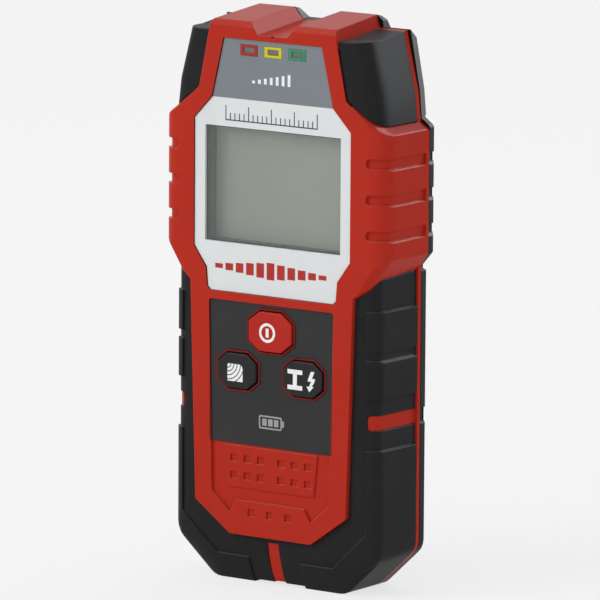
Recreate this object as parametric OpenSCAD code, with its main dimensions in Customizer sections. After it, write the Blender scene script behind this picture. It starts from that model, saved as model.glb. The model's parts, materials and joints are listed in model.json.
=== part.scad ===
// Hand-held stud finder: stands on its foot, front face towards -Y, +X to the viewer's right.

/* [Case] */
// Height of the handle, from the foot to the head's lower edge on the front face
handle_h = 77.5; // [75:0.1:84]
// Height of the head, from its lower edge to the foot of the neck
head_h = 50.6; // [48:0.1:58]
// Height of the neck's front face
neck_h = 16.3; // [15:0.1:22]
// Rise of the two horns above the neck's front face
horn_h = 3.4; // [2.6:0.1:5]
// Width of the handle without its pads
handle_w = 63; // [61:0.1:70]
// How much wider the handle is at the seam than at its front edges, on each side
handle_draft = 0.7; // [0.4:0.1:1.6]
// Width of the head
head_w = 70; // [68:0.1:80]
// Width of the neck's front face at its foot
neck_foot_w = 45.9; // [42:0.1:50]
// Width of the neck's front face at its top
neck_top_w = 39.2; // [37:0.1:42]
// Width across the grip blocks at their top
block_top_w = 55.8; // [53:0.1:60]
// Width across the grip blocks at the shoulder
block_foot_w = 64.8; // [61:0.1:66]
// Depth of the front shell, from the front face to the seam
front_d = 19.9; // [19:0.1:24]
// Depth of the rear shell, from the seam to the back face
rear_d = 6.8; // [6.4:0.1:9]
// Radius of the case's upright edges
edge_r = 5; // [4:0.1:6]
// Radius of the outline's corners on the head and the foot
corner_r = 4.5; // [3:0.1:6]
// Radius of the grip blocks' front edges
block_r = 7.5; // [5:0.1:9]
// Thickness of the shells' side and back walls
wall = 2; // [1.6:0.1:2.4]
// Thickness of the front shell's face
face_t = 2.3; // [2:0.1:2.8]
// Open line between the two shells
seam_gap = 0.2; // [0.1:0.05:0.4]
// Width of the channel between the horns at its floor
notch_w = 9.2; // [7:0.1:11]
// Depth of that channel below the horns' tips
notch_depth = 3.1; // [2.2:0.1:4]

/* [Head] */
// Height of the head's slanted lower corners
head_cut_h = 10.6; // [8.4:0.1:12]
// Height of the shoulders beside the neck's foot
shoulder_h = 8.4; // [7:0.1:10]
// Height of one side groove
groove_h = 2.6; // [1.5:0.1:3.5]
// Depth of one side groove
groove_depth = 0.8; // [0.4:0.1:1.1]
// Spacing of the side grooves
groove_pitch = 9.2; // [7:0.1:10]
// Height of the slope at the foot of a side groove
groove_slope = 0.7; // [0.3:0.1:1]

/* [Grip] */
// Thickness of the soft skin on the handle
skin_t = 1.2; // [0.9:0.1:1.6]
// Thickness of the soft grip blocks
block_t = 1.5; // [1:0.1:2]
// How far the pads stand above the skin
pad_rise = 0.6; // [0.3:0.1:1]
// Width of the red side stripe
stripe_h = 4; // [2.5:0.1:5]
// Width of the red stripe under the front face
foot_stripe_w = 3.6; // [2:0.1:5]
// Size of the slanted cuts at the handle's foot
foot_cut = 10.2; // [8:0.1:11]
// Height of the front face's lower edge above the foot
face_foot_z = 12.5; // [11:0.1:15]

/* [Display] */
// Width of the display opening in the label
window_w = 42.4; // [36:0.1:44]
// Height of the display opening in the label
window_h = 29.9; // [26:0.1:31]
// Thickness of the label panel
label_t = 0.8; // [0.5:0.1:1]
// How far the label lies below the front face
label_recess = 0.35; // [0.2:0.05:0.5]
// Depth of the dark frame round the display
lcd_frame_t = 2.7; // [2:0.1:4]
// Thickness of the display glass
lcd_t = 2.2; // [1.8:0.1:3]
// Thickness of the light guide behind the display
backlight_t = 1.3; // [1:0.1:2]
// Width of one framed light window
led_w = 5.45; // [4.5:0.05:6]
// Height of one framed light window
led_h = 2.9; // [2.4:0.05:3.5]
// Spacing of the light windows
led_pitch = 7.52; // [6.6:0.02:8.2]

/* [Keys] */
// Width of the power key's rim
power_w = 15.1; // [13:0.1:16]
// Height of the power key's rim
power_h = 11.9; // [10.5:0.1:12.5]
// Width of a side key's rim
side_key_w = 13.7; // [12:0.1:14.4]
// Height of a side key's rim
side_key_h = 10.7; // [9.5:0.1:11.2]
// Spacing of the side keys
side_key_pitch = 20.7; // [20:0.1:21.4]
// Width of the raised rims
rim_w = 0.5; // [0.4:0.05:0.8]
// How far the keys stand above the front face
key_proud = 0.5; // [0.3:0.05:0.8]
// How far each key travels
key_travel = 0.8; // [0.4:0.05:1]
// Open line round each key
key_gap = 0.3; // [0.15:0.05:0.35]
// Height of the black key panel
panel_h = 37; // [36:0.1:38]
// Thickness of the black key panel
panel_t = 0.4; // [0.3:0.05:0.6]

/* [Battery] */
// Length of the battery without its studs
battery_l = 46.4; // [44:0.1:47]
// Height of the battery as it lies
battery_h = 26.5; // [25:0.1:27]
// Thickness of the battery
battery_t = 17.5; // [16:0.1:18]
// Thickness of the battery bay's walls
bay_wall = 1.2; // [0.9:0.1:1.3]
// Radius of the door's hinge pins
pin_r = 0.8; // [0.6:0.05:0.9]
// Running clearance round the hinge pins
pin_clearance = 0.05; // [0.03:0.01:0.08]
// Open line round the battery door
door_gap = 0.3; // [0.2:0.05:0.4]

/* [Inside] */
// Thickness of the circuit boards
board_t = 1.6; // [1:0.1:2]
// Outer radius of the search coil
coil_r = 20; // [17:0.1:20.4]
// Radius of the housing screws
screw_r = 1.25; // [1:0.05:1.5]
// Radius of the board screws
board_screw_r = 0.8; // [0.7:0.05:1]

/* [Hidden] */
$fn = 48;

// Fits
fit = 0.05;
mould_gap = 0.05;
cut_past = 1;

// Levels along the depth
case_d = front_d + rear_d;
front_y = (key_proud - case_d) / 2;
seam_y = front_y + front_d;
back_y = front_y + case_d;
shell_end_y = seam_y - seam_gap / 2;
rear_start_y = seam_y + seam_gap / 2;
inner_y = front_y + face_t;
rear_inner_y = back_y - wall;
label_y = front_y + label_recess;
label_floor_y = label_y + label_t;
panel_y = front_y + label_recess;
panel_floor_y = panel_y + panel_t;
lcd_y = inner_y + lcd_frame_t;
lcd_back_y = lcd_y + lcd_t;
board_y = lcd_back_y + backlight_t;
board_back_y = board_y + board_t;

// Levels along the height
head_z = handle_h;
neck_z = head_z + head_h;
top_z = neck_z + neck_h;
case_h = top_z + horn_h;
display_shift = 0.65;
led_drop = 5.9;
head_mid_z = head_z + head_h / 2 + display_shift;
led_z = top_z - led_drop;

// Half widths
handle_x = handle_w / 2;
head_x = head_w / 2;
neck_foot_x = neck_foot_w / 2;
neck_top_x = neck_top_w / 2;
block_top_x = block_top_w / 2;
block_foot_x = block_foot_w / 2;

// Red front face on the handle, with its slanted lower corners
face_taper = 1.8;
face_cut = [11.2, 8];
face_inset = 0.7;
face_gap = 0.3;
face_proud = 1.3;
face_r = 1.2;
face_top_x = handle_x - edge_r - face_inset;
face_cut_x = face_top_x - face_taper;
face_cut_z = face_foot_z + face_cut[1];
face_foot_x = face_cut_x - face_cut[0];
face_half = [[face_foot_x, face_foot_z], [face_cut_x, face_cut_z], [face_top_x, head_z]];

// Outlines as right halves, from the lowest point up, with the radius of each corner
edge_steps = 7;
corner_steps = 3;
front_corner_r = corner_r / 2;
face_margin = 0.5;
handle_overlap = 0.85;
handle_top_z = head_z + head_cut_h * handle_overlap;
foot_run = foot_cut + 0.8;
handle_half = [[handle_x - foot_run, pad_rise], [handle_x, pad_rise + foot_cut], [handle_x, handle_top_z]];
handle_front_half = [[face_foot_x + face_margin, face_foot_z - face_margin],
    [face_top_x, face_cut_z + 2 * face_margin], [face_top_x, handle_top_z]];
handle_radii = [corner_r, corner_r, 0];
handle_front_radii = [front_corner_r, front_corner_r, 0];
handle_bulge = [1.3, 2, 2];
shoulder_z = neck_z - shoulder_h;
shoulder_slope = shoulder_h / (head_x - neck_foot_x);
head_knee = [3.7, 2.4];
head_half = [[face_top_x, head_z], [face_top_x, head_z] + head_knee, [head_x, head_z + head_cut_h],
    [head_x, shoulder_z], [neck_foot_x, neck_z]];
head_front_knee = [1.4, 2.4];
head_front_drop = 3.6;
head_front_rise = 2;
head_front_half = [[face_top_x - face_margin / 2, head_z + face_margin],
    [face_top_x, head_z] + head_front_knee,
    [head_x - edge_r, head_z + head_cut_h - head_front_drop],
    [head_x - edge_r, shoulder_z + head_front_rise], [neck_foot_x, neck_z]];
head_corner_r = 1.2;
head_knee_r = 3;
head_radii = [0, head_knee_r, head_corner_r, head_corner_r, 0];
head_front_radii = [0, front_corner_r, front_corner_r, front_corner_r, 0];
head_bulge = [2, 2, 2, 2, 2];
block_drop = 1.3;
block_rise = 1.5;
block_waist = [0.9, 1.4];
block_line = 0.7;
block_top_z = top_z - block_drop;
block_half = [[block_foot_x, neck_z - (block_foot_x - neck_foot_x) * shoulder_slope],
    [block_foot_x - block_waist[0], neck_z + block_waist[1]], [block_top_x, block_top_z]];
block_front_half = [[neck_foot_x + block_line, neck_z - block_line],
    [neck_foot_x + block_line / 2, neck_z + block_waist[1]],
    [neck_top_x + block_line, block_top_z - block_line / 2]];
block_bulge = [3.4, 3.4, 3.4];
block_step = 0.6;
neck_root = 4;
horn_taper = 1.2;
neck_half = [[neck_foot_x - cut_past, neck_z - neck_root], [neck_foot_x, neck_z], [neck_top_x, top_z],
    [neck_top_x - horn_taper, case_h]];
horn_front_rise = 1.4;
horn_front_run = 1.2;
tilt = atan((horn_h - horn_front_rise) / (front_d - horn_front_run));
notch_flare = 2.7;
notch_top_x = notch_w / 2 + notch_flare;
notch_floor_z = top_z + horn_front_rise - notch_depth;
mark_w = 0.6;
mark_depth = 0.7;

// Label, key panel and the relief below the keys
label_half = [[19.2, head_z - 1.8], [20.2, head_z - 0.8], [20.6, head_z + 4.1], [24.5, head_z + 9.4],
    [24.5, neck_z - 8], [19, neck_z - 2.3], [15.36, top_z - 3.15]];
panel_drop = 4;
relief_h = 18;
panel_top_z = head_z - panel_drop;
panel_foot_z = panel_top_z - panel_h;
panel_half = [[18.7, panel_foot_z], [19.56, panel_top_z]];
panel_corner_r = 0.8;
relief_foot_z = panel_foot_z - relief_h;
relief_half = [[10.7, relief_foot_z + 3.3], [12.7, relief_foot_z], [18.5, relief_foot_z + 5.1],
    [18.7, panel_foot_z], [19.56, panel_top_z]];
dimple_pad_half = [[13.5, panel_foot_z - 11.4], [14.6, panel_foot_z - 0.5]];
dimple_size = [2.3, 1.9];
dimple_depth = 0.45;
dimple_columns = [3.2, 7.4, 11.6];
dimple_rows = [panel_foot_z - 3.8, panel_foot_z - 8.3];
tab_dimple_z = relief_foot_z + 0.3;
tab_dimples = [-5.8, 0, 5.8];

// Keys
power_drop = 6.9;
side_key_drop = 18;
power_at = [0, panel_top_z - power_drop];
stud_at = [-side_key_pitch / 2, panel_top_z - side_key_drop];
metal_at = [side_key_pitch / 2, panel_top_z - side_key_drop];
power_cut = [4, 3];
side_cut = [3.5, 2.7];
rim_rise = 0.2;
key_flange = 0.5;
key_flange_t = 1;
key_slack = 0.1;
stem_r = 3;
pill_r = 2.2;
pill_t = 0.8;
stop_gap = 0.02;
pill_y = board_y - stop_gap - key_travel - pill_t;
mat_t = 1;
mat_slack = 0.6;
mat_hole_r = stem_r + mat_slack;
mat_x = 18.6;
mat_margin = 1;
collar_t = 0.9;
collar_h = 1.6;
power_key = [power_at, power_w, power_h, power_cut];
stud_key = [stud_at, side_key_w, side_key_h, side_cut];
metal_key = [metal_at, side_key_w, side_key_h, side_cut];
key_list = [power_key, stud_key, metal_key];

// Battery bay, across the handle behind the board's lower end
terminal_h = 2.1;
plate_t = 0.4;
contact_t = 1;
bay_slack = 0.2;
bay_x = (battery_l + terminal_h + plate_t + contact_t + 2 * bay_slack) / 2;
bay_rise = 1.6;
bay_z = foot_cut + pad_rise + bay_rise;
bay_top_z = bay_z + battery_h + 2 * bay_slack;
battery_back_y = rear_inner_y - bay_slack;
bay_floor_y = battery_back_y - battery_t - bay_slack;
battery_x = bay_slack - bay_x + contact_t + plate_t + terminal_h;
stud_pitch = 12.7;
stud_z = bay_z + bay_slack + battery_h / 2;
stud_y = battery_back_y - battery_t / 2;
contact_x = bay_slack - bay_x;
battery_edge = 1.5;
male_r = 2.9;
female_r = 4.2;
contact_r = 4.6;
contact_margin = 2;
contact_half_w = 6;
lead_r = 0.6;
lead_spread = 2.5;
lead_rise = 5.5;
lead_reach = 9;
lead_y = [stud_y - lead_spread, stud_y + lead_spread];
lead_steps = 14;

// Battery door
door_lip = 0.7;
door_x = bay_x + door_lip;
door_z = bay_z - door_lip;
door_corner = 1.2;
barrel_r = 1.35;
hinge_y = back_y - barrel_r - fit;
hinge_z = bay_top_z + bay_wall + barrel_r + 2 * door_gap;
pin_l = 1.6;
door_groove_pitch = 2.4;
door_groove_depth = 0.5;
door_groove_w = 18;
door_grooves = 4;

// Boards and screws
board_rise = 2;
board_drop = 4;
board_z = bay_top_z + bay_wall + board_rise;
board_top_z = top_z - board_drop;
post_r = 3.3;
post_inset = 7.4;
board_clear = 0.8;
board_low_x = handle_x - post_inset - post_r - board_clear;
board_head_x = 24.2;
board_neck_x = 15.6;
board_half = [[board_low_x, board_z], [board_low_x, head_z + 1], [board_head_x, head_z + 5],
    [board_head_x, neck_z - 6.2], [board_neck_x, neck_z + 2.4], [board_neck_x, board_top_z]];
low_board_screw = [17, head_z + 2.6];
high_board_screw = [12.6, neck_z - 2.4];
board_screw_at = [low_board_screw, [-low_board_screw[0], low_board_screw[1]],
    high_board_screw, [-high_board_screw[0], high_board_screw[1]]];
board_post_r = 2.3;
board_screw_head_r = 1.7;
board_screw_head_t = 1.2;
board_bore_y = inner_y + 1;
lcd_w = window_w + 3.2;
lcd_h = window_h + 4.4;
post_clear = 1.9;
head_screw = [lcd_w / 2 + post_r + post_clear, shoulder_z - 6];
handle_screw = [handle_x - post_inset, hinge_z + 8.2];
screw_at = [head_screw, [-head_screw[0], head_screw[1]], handle_screw, [-handle_screw[0], handle_screw[1]]];
post_set = 1.8;
post_end_y = seam_y - post_set;
screw_head_r = 2.5;
screw_head_t = 1.8;
screw_sink = 2.9;
screw_seat_y = back_y - screw_sink;
screw_l = 13;
screw_slot = [3, 2, 0.75];
lip_t = 1;
lip_d = 1.5;
chip_at = [0, head_mid_z];
chip_w = 9;
chip_t = 1.5;
chip_pins = 8;
chip_pitch = 0.9;
chip_pin_w = 0.4;
chip_pin_l = 1;
capacitor_r = 3;
capacitor_h = 6;
capacitor_at = [13, neck_z - 12];
small_part = [3.2, 1.6, 1.1];
small_part_at = [8, head_z + 5];
small_part_pitch = 2.6;
small_parts = 4;
buzzer_r = 6;
buzzer_t = 5;
buzzer_hole_r = 1;
header_x = 6;
header_t = 3;
header_h = 4;
header_z = board_z + 1;
connector_h = 2;
sensor_y = rear_inner_y - board_t;
sensor_rise = 3.6;
sensor_drop = 5.6;
sensor_z = head_z + sensor_rise;
sensor_top_z = neck_z - sensor_drop;
sensor_x = head_screw[0] - post_r - plate_t;
coil_z = (sensor_z + sensor_top_z) / 2;
coil_t = 3;
former_wall = 1;
former_t = coil_t + 2 * former_wall;
winding_t = 4;
core_r = coil_r - winding_t;
foil_t = 0.3;
plate_gap = 0.5;
plate_room_r = core_r - former_wall - plate_gap;
plate_pitch = plate_room_r * 0.6;
plate_w = plate_pitch - 4 * plate_gap;
plate_h = 2 * sqrt(pow(plate_room_r, 2) - pow(plate_pitch + plate_w / 2, 2));

// Joins a right half to its mirror image, anticlockwise as seen from the front.
function both(half) = concat(half, [for (i = [len(half) - 1:-1:0]) [-half[i][0], half[i][1]]]);

function unit(v) = v / norm(v);

// Moves every side of an anticlockwise outline inwards by d, with sharp corners.
function shrink(pts, d) = [
    for (i = [0:len(pts) - 1])
    let (
        n = len(pts),
        a = unit(pts[i] - pts[(i + n - 1) % n]),
        b = unit(pts[(i + 1) % n] - pts[i]),
        na = [-a[1], a[0]],
        nb = [-b[1], b[0]]
    )
    pts[i] + d * (na + nb) / (1 + na * nb)
];

function mirrored(half) = concat(half, [for (i = [len(half) - 1:-1:0]) half[i]]);

// Rounds the corners of a closed outline, where their radius is not zero, by an arc of corner_steps chords.
function rounded(pts, radii) = [
    for (i = [0:len(pts) - 1])
    let (
        n = len(pts),
        a = unit(pts[(i + n - 1) % n] - pts[i]),
        b = unit(pts[(i + 1) % n] - pts[i]),
        run = radii[i] / tan(acos(a * b) / 2)
    )
    each (radii[i] == 0 ? [pts[i]] : [
        for (k = [0:corner_steps])
        let (t = k / corner_steps)
        pts[i] + run * (pow(1 - t, 2) * a + pow(t, 2) * b)
    ])
];

// Whole outline of a right half, moved out by grow, with corners that stay parallel.
least_r = 0.3;

function outline(half, radii, grow) = rounded(shrink(both(half), -grow),
    [for (r = mirrored(radii)) r == 0 ? 0 : max(r + grow, least_r)]);

// Values of a right half, one for each point of its rounded outline.
function spread(values, radii) = mirrored([
    for (i = [0:len(values) - 1], k = [0:radii[i] == 0 ? 0 : corner_steps]) values[i]
]);

// One outline between the front edge and the full outline: t runs 0 to 1 along the rounding's depth.
function blend_ring(front, full, bulge, t) = [
    for (i = [0:len(full) - 1])
    let (p = bulge[i], share = pow(1 - pow(1 - t, p), 1 / p))
    front[i] + (full[i] - front[i]) * share
];

// Points of a flat outline, set up at depth y.
function upright(pts, y) = [for (p = pts) [p[0], y, p[1]]];

function centre(ring) = [for (k = [0:2]) [for (p = ring) p[k]] * [for (p = ring) 1] / len(ring)];

// Skin over a row of rings with as many points each, closed by a fan at either end.
module skin(rings) {
    n = len(rings[0]);
    m = len(rings);
    ends = [centre(rings[0]), centre(rings[m - 1])];
    points = concat([for (r = rings) each r], ends);
    sides = [
        for (k = [0:m - 2], i = [0:n - 1])
        let (a = k * n + i, b = k * n + (i + 1) % n)
        each [[a, b, b + n], [a, b + n, a + n]]
    ];
    caps = [
        for (i = [0:n - 1])
        let (j = (i + 1) % n)
        each [[n * m, j, i], [n * m + 1, (m - 1) * n + i, (m - 1) * n + j]]
    ];
    polyhedron(points = points, faces = concat(sides, caps), convexity = 6);
}

// Body with a rounded front edge: from the front outline at y0 to the full outline at y0 + r, then to
// the rear outline at y1.
module front_form(front, full, rear, bulge, y0, r, y1) {
    skin(concat(
        [for (k = [0:edge_steps])
            let (t = 1 - cos(90 * k / edge_steps))
            upright(blend_ring(front, full, bulge, t), y0 + r * t)],
        [upright(rear, y1)]
    ));
}

// Sides of the rear half: depth of their upright part and slope of the rest.
handle_rear = [2.1, 40];
head_rear = [1.9, 40];
neck_rear = [0, 25];
back_r = 1;
back_steps = 3;

// Body with such sides and a rounded back edge, from lead before the seam to the back, on a right half
// moved out by grow.
module rear_form(half, radii, grow, lead, side) {
    taper = side[1];
    side_y = rear_start_y + side[0];
    end_y = back_y - back_r * (1 - sin(taper));
    draw = (end_y - side_y) * tan(taper) - grow;
    skin(concat(
        [upright(outline(half, radii, grow), rear_start_y - lead)],
        side[0] > 0 ? [upright(outline(half, radii, grow), side_y)] : [],
        [for (k = [0:back_steps])
            let (a = taper + (90 - taper) * k / back_steps)
            upright(outline(half, radii, back_r * (cos(a) - cos(taper)) - draw),
                back_y - back_r * (1 - sin(a)))]
    ));
}

// Wedge that slopes the upper edge of a step at height z: the step's foot is at x0 at depth y0 and at x1
// at depth y1.
module slope_cut(z, rise, slope, x0, y0, x1, y1) {
    far = rise + cut_past;
    skin([for (e = [[x0, y0], [x1, y1]])
        upright([[e[0] + fit, z + fit], [e[0] + far, z + fit - (far - fit) * slope / rise],
            [e[0] + far, z + cut_past]], e[1])]);
}

// Flat outline in the X-Z plane, extruded from y0 to y1.
module slab(pts, y0, y1) {
    translate([0, y1, 0]) rotate([90, 0, 0]) linear_extrude(height = y1 - y0) polygon(pts);
}

// Outline in the Y-Z plane, extruded from x0 to x1.
module side_slab(pts, x0, x1) {
    translate([x0, 0, 0]) rotate([90, 0, 90]) linear_extrude(height = x1 - x0) polygon(pts);
}

// Box by its lowest and highest corners.
module box(low, high) {
    translate(low) cube(high - low);
}

// Cylinder along Y at [x, z], from y0 to y1.
module rod(at, r, y0, y1) {
    translate([at[0], y1, at[1]]) rotate([90, 0, 0]) cylinder(r = r, h = y1 - y0);
}

// Octagon of a key, with cut corners.
function octagon(at, w, h, cut) = [
    for (p = [[1, -1, 0, 1], [1, -1, 1, 0], [1, 1, 1, 0], [1, 1, 0, 1],
        [-1, 1, 0, 1], [-1, 1, 1, 0], [-1, -1, 1, 0], [-1, -1, 0, 1]])
    at + [p[0] * (w / 2 - p[3] * cut[0]), p[1] * (h / 2 - p[2] * cut[1])]
];

function rect(at, w, h) = [
    for (s = [[1, -1], [1, 1], [-1, 1], [-1, -1]])
    at + [s[0] * w / 2, s[1] * h / 2]
];

// Right half of the handle's outline, d wider at its sides.
function drafted(d) = [handle_half[0], handle_half[1] + [d, d], handle_half[2] + [d, 0]];

// Outer forms of the case. grow moves the surface out, or in where it is below zero.
module handle_form(grow, y1) {
    front = outline(handle_front_half, handle_front_radii, 0);
    full_y = front_y + edge_r;
    draft = handle_draft * (y1 - full_y) / (shell_end_y - full_y);
    full = outline(handle_half, handle_radii, grow);
    rear = outline(drafted(draft), handle_radii, grow);
    bulge = spread(handle_bulge, handle_radii);
    front_form(front, full, rear, bulge, front_y + face_proud - grow, edge_r - face_proud + grow, y1);
}

module head_form(grow, y1) {
    front = outline(head_front_half, head_front_radii, 0);
    full = outline(head_half, head_radii, grow);
    bulge = spread(head_bulge, head_radii);
    front_form(front, full, full, bulge, front_y - grow, edge_r + grow, y1);
}

module block_form(grow, y1) {
    full_y = front_y + block_step + block_r;
    rise = block_rise * (y1 - full_y) / (shell_end_y - full_y);
    full = shrink(both(block_half), -grow);
    rear = shrink(both([block_half[0], block_half[1], block_half[2] + [0, rise]]), -grow);
    front_form(both(block_front_half), full, rear, mirrored(block_bulge),
        front_y + block_step - grow, block_r + grow, y1);
}

// Neck and horns: their front outline, cut by the slopes over their tops.
module neck_form(y1) {
    rise = tan(tilt);
    run_y = front_y + horn_front_run;
    run_z = top_z + horn_front_rise;
    intersection() {
        slab(both(neck_half), front_y, y1);
        side_slab([[front_y, neck_z - neck_root], [y1, neck_z - neck_root],
            [y1, run_z + (y1 - run_y) * rise], [run_y, run_z], [front_y, top_z]], -neck_foot_x, neck_foot_x);
    }
}

// Channel between the horns, along the slope of their tops.
module notch_cut() {
    depth = 2 * case_d;
    translate([0, front_y, notch_floor_z]) rotate([tilt, 0, 0])
        slab([[notch_w / 2, 0], [notch_top_x, notch_depth], [notch_top_x, 2 * horn_h + notch_depth],
            [-notch_top_x, 2 * horn_h + notch_depth], [-notch_top_x, notch_depth], [-notch_w / 2, 0]],
            -depth, depth);
}

// Hollow of the case between two depths, drawn in by d all round.
module hollow(d, y0, y1) {
    tall_half = [handle_half[0], handle_half[1], [handle_x, head_z + head_cut_h]];
    block_wall = block_t + wall;
    slab(shrink(both(tall_half), skin_t + wall + d), y0, y1);
    slab(shrink(both(head_half), wall + 0.5 + d), y0, y1);
    slab(shrink(both([[block_foot_x - block_wall - 1, shoulder_z],
        [block_top_x - block_wall - 1.6, block_top_z - block_wall]]), d), y0, y1);
    slab(shrink(both([[neck_foot_x - 5, neck_z], [neck_top_x - 2.6, top_z - wall - 1.4]]), d), y0, y1);
}

// Narrow front part of the hollow, clear of the rounded edges.
module front_hollow(y0, y1) {
    slab(both([[face_foot_x, bay_z - bay_wall - 0.2], [face_top_x - 2.2, bay_z - bay_wall - 0.2],
        [face_top_x - 2.2, head_z + 1]]), y0, y1);
    slab(both([[face_top_x - 2.2, head_z], [head_x - edge_r - 1, head_z + head_cut_h],
        [head_x - edge_r - 1, shoulder_z - 1], [neck_foot_x - 2, neck_z - 2]]), y0, y1);
    slab(both([[neck_foot_x - 4, neck_z - 3], [neck_top_x - 2.4, top_z - 3]]), y0, y1);
}

// Side grooves of the head, as far in as the form drawn in by their depth.
module groove_bands(y0, y1) {
    end_x = head_x - edge_r - groove_depth + groove_h / 2;
    for (s = [-1, 1], k = [-1:1]) {
        z = head_mid_z + k * groove_pitch;
        slab(rect([s * (end_x + edge_r), z], 2 * edge_r, groove_h), y0, y1);
        rod([s * end_x, z], groove_h / 2, y0, y1);
    }
}

// Slopes at the foot of those grooves.
module groove_slopes(y0, y1) {
    floor_x = head_x - groove_depth;
    for (s = [0, 1], k = [-1:1]) mirror([s, 0, 0])
        slope_cut(head_mid_z + k * groove_pitch - groove_h / 2, groove_depth, groove_slope,
            floor_x, y0, floor_x, y1);
}

// U-shaped area of the handle that the soft skin covers, as seen from the front.
module grip_area(d, y0, y1) {
    past_x = head_x + cut_past;
    pts = concat(
        [[past_x, -cut_past], [past_x, handle_top_z], [face_top_x, handle_top_z]],
        [for (i = [1:-1:0]) face_half[i]],
        [for (i = [0:1]) [-face_half[i][0], face_half[i][1]]],
        [[-face_top_x, handle_top_z], [-past_x, handle_top_z], [-past_x, -cut_past]]
    );
    slab(shrink(rounded(pts, [0, 0, 0, face_r, 0, 0, face_r, 0, 0, 0]), d), y0, y1);
}

stripe_z = head_z - 31.7;
stripe_x = face_top_x + 3;
rim_t = 1.3;
block_rim_t = 1.7;
stripe_r = 1;
rim_y = seam_y - rim_t;
block_end_y = seam_y - block_rim_t;

// Places of the red stripes that show through the skin, drawn in by d.
module stripe_area(d) {
    for (s = [0, 1]) mirror([s, 0, 0])
        slab(rounded(shrink(rect([(stripe_x + handle_x) / 2 + cut_past, stripe_z],
            handle_x - stripe_x + 2 * cut_past, stripe_h), d), [0, 0, stripe_r, stripe_r]),
            front_y, rim_y + cut_past / 2);
    slab(shrink(rect([0, face_foot_z / 2 - cut_past], foot_stripe_w, face_foot_z), d),
        front_y - cut_past, front_y + edge_r + 4 - d);
}

// Places of the raised pads, as seen from the front.
pad_x = stripe_x;
pad_end_x = 8;
side_pads = [[head_z - 13.4, head_z - 3], [head_z - 25.6, head_z - 15.6]];
foot_pad_top_z = head_z - 38.8;
foot_pad_z = face_foot_z - 5.6;

module pad_area() {
    far_x = handle_x + handle_draft + 2 * cut_past;
    y0 = front_y - cut_past;
    y1 = rim_y;
    for (s = [0, 1]) mirror([s, 0, 0]) {
        for (z = side_pads)
            slab([[pad_x, z[0]], [far_x, z[0]], [far_x, z[1]], [pad_x, z[1]]], y0, y1);
        slab([[pad_end_x, -cut_past], [far_x, -cut_past], [far_x, foot_pad_top_z], [pad_x, foot_pad_top_z],
            [pad_x, face_foot_z + 4.3], [pad_end_x + 10.2, foot_pad_z], [pad_end_x, foot_pad_z]], y0, y1);
    }
}

// Slopes at the top of the pads: height of the pad's edge and height of its slope.
pad_slopes = [[side_pads[0][1], 0.3], [side_pads[1][1], 0.7], [foot_pad_top_z, 0.3]];

// Half width of the skin at depth y, behind the rounded front edge.
function handle_side(y) = handle_x
    + handle_draft * (y - front_y - edge_r) / (shell_end_y - front_y - edge_r);

module pad_edges() {
    y1 = rim_y + cut_past;
    for (s = [0, 1], p = pad_slopes) mirror([s, 0, 0])
        slope_cut(p[0], pad_rise, p[1], handle_side(front_y), front_y, handle_side(y1), y1);
}

module key_rims() {
    for (k = key_list) slab(octagon(k[0], k[1], k[2], k[3]), panel_y - rim_rise, inner_y);
}

module key_holes() {
    for (k = key_list)
        slab(shrink(octagon(k[0], k[1], k[2], k[3]), rim_w), front_y - cut_past, inner_y + cut_past);
}

// Relief below the keys: a sunk field with a raised pad and rows of dimples.
module relief_cut() {
    difference() {
        slab(rounded(both(relief_half), mirrored([0, 0, 0, 0, panel_corner_r])),
            front_y - cut_past, panel_floor_y);
        slab(both(dimple_pad_half), front_y - 2 * cut_past, panel_floor_y + cut_past);
    }
    slab(both(dimple_pad_half), front_y - cut_past, panel_y);
    for (s = [-1, 1], x = dimple_columns, z = dimple_rows)
        slab(rect([s * x, z], dimple_size[0], dimple_size[1]), front_y - cut_past, panel_y + dimple_depth);
    for (x = tab_dimples)
        slab(rect([x, tab_dimple_z], dimple_size[0], dimple_size[1]),
            front_y - cut_past, front_y + dimple_depth);
}

module window_opening(d, y0, y1) {
    slab(rect([0, head_mid_z], window_w - 2 * d, window_h - 2 * d), y0, y1);
}

module light_openings(d, y0, y1) {
    for (k = [-1:1])
        slab(rect([k * led_pitch, led_z], led_w - 2 * d, led_h - 2 * d), y0, y1);
}

window_ledge = 0.3;
light_ledge = 0.7;
led_base_t = 1.5;
groove_end_y = shell_end_y - 1.2;

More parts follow.
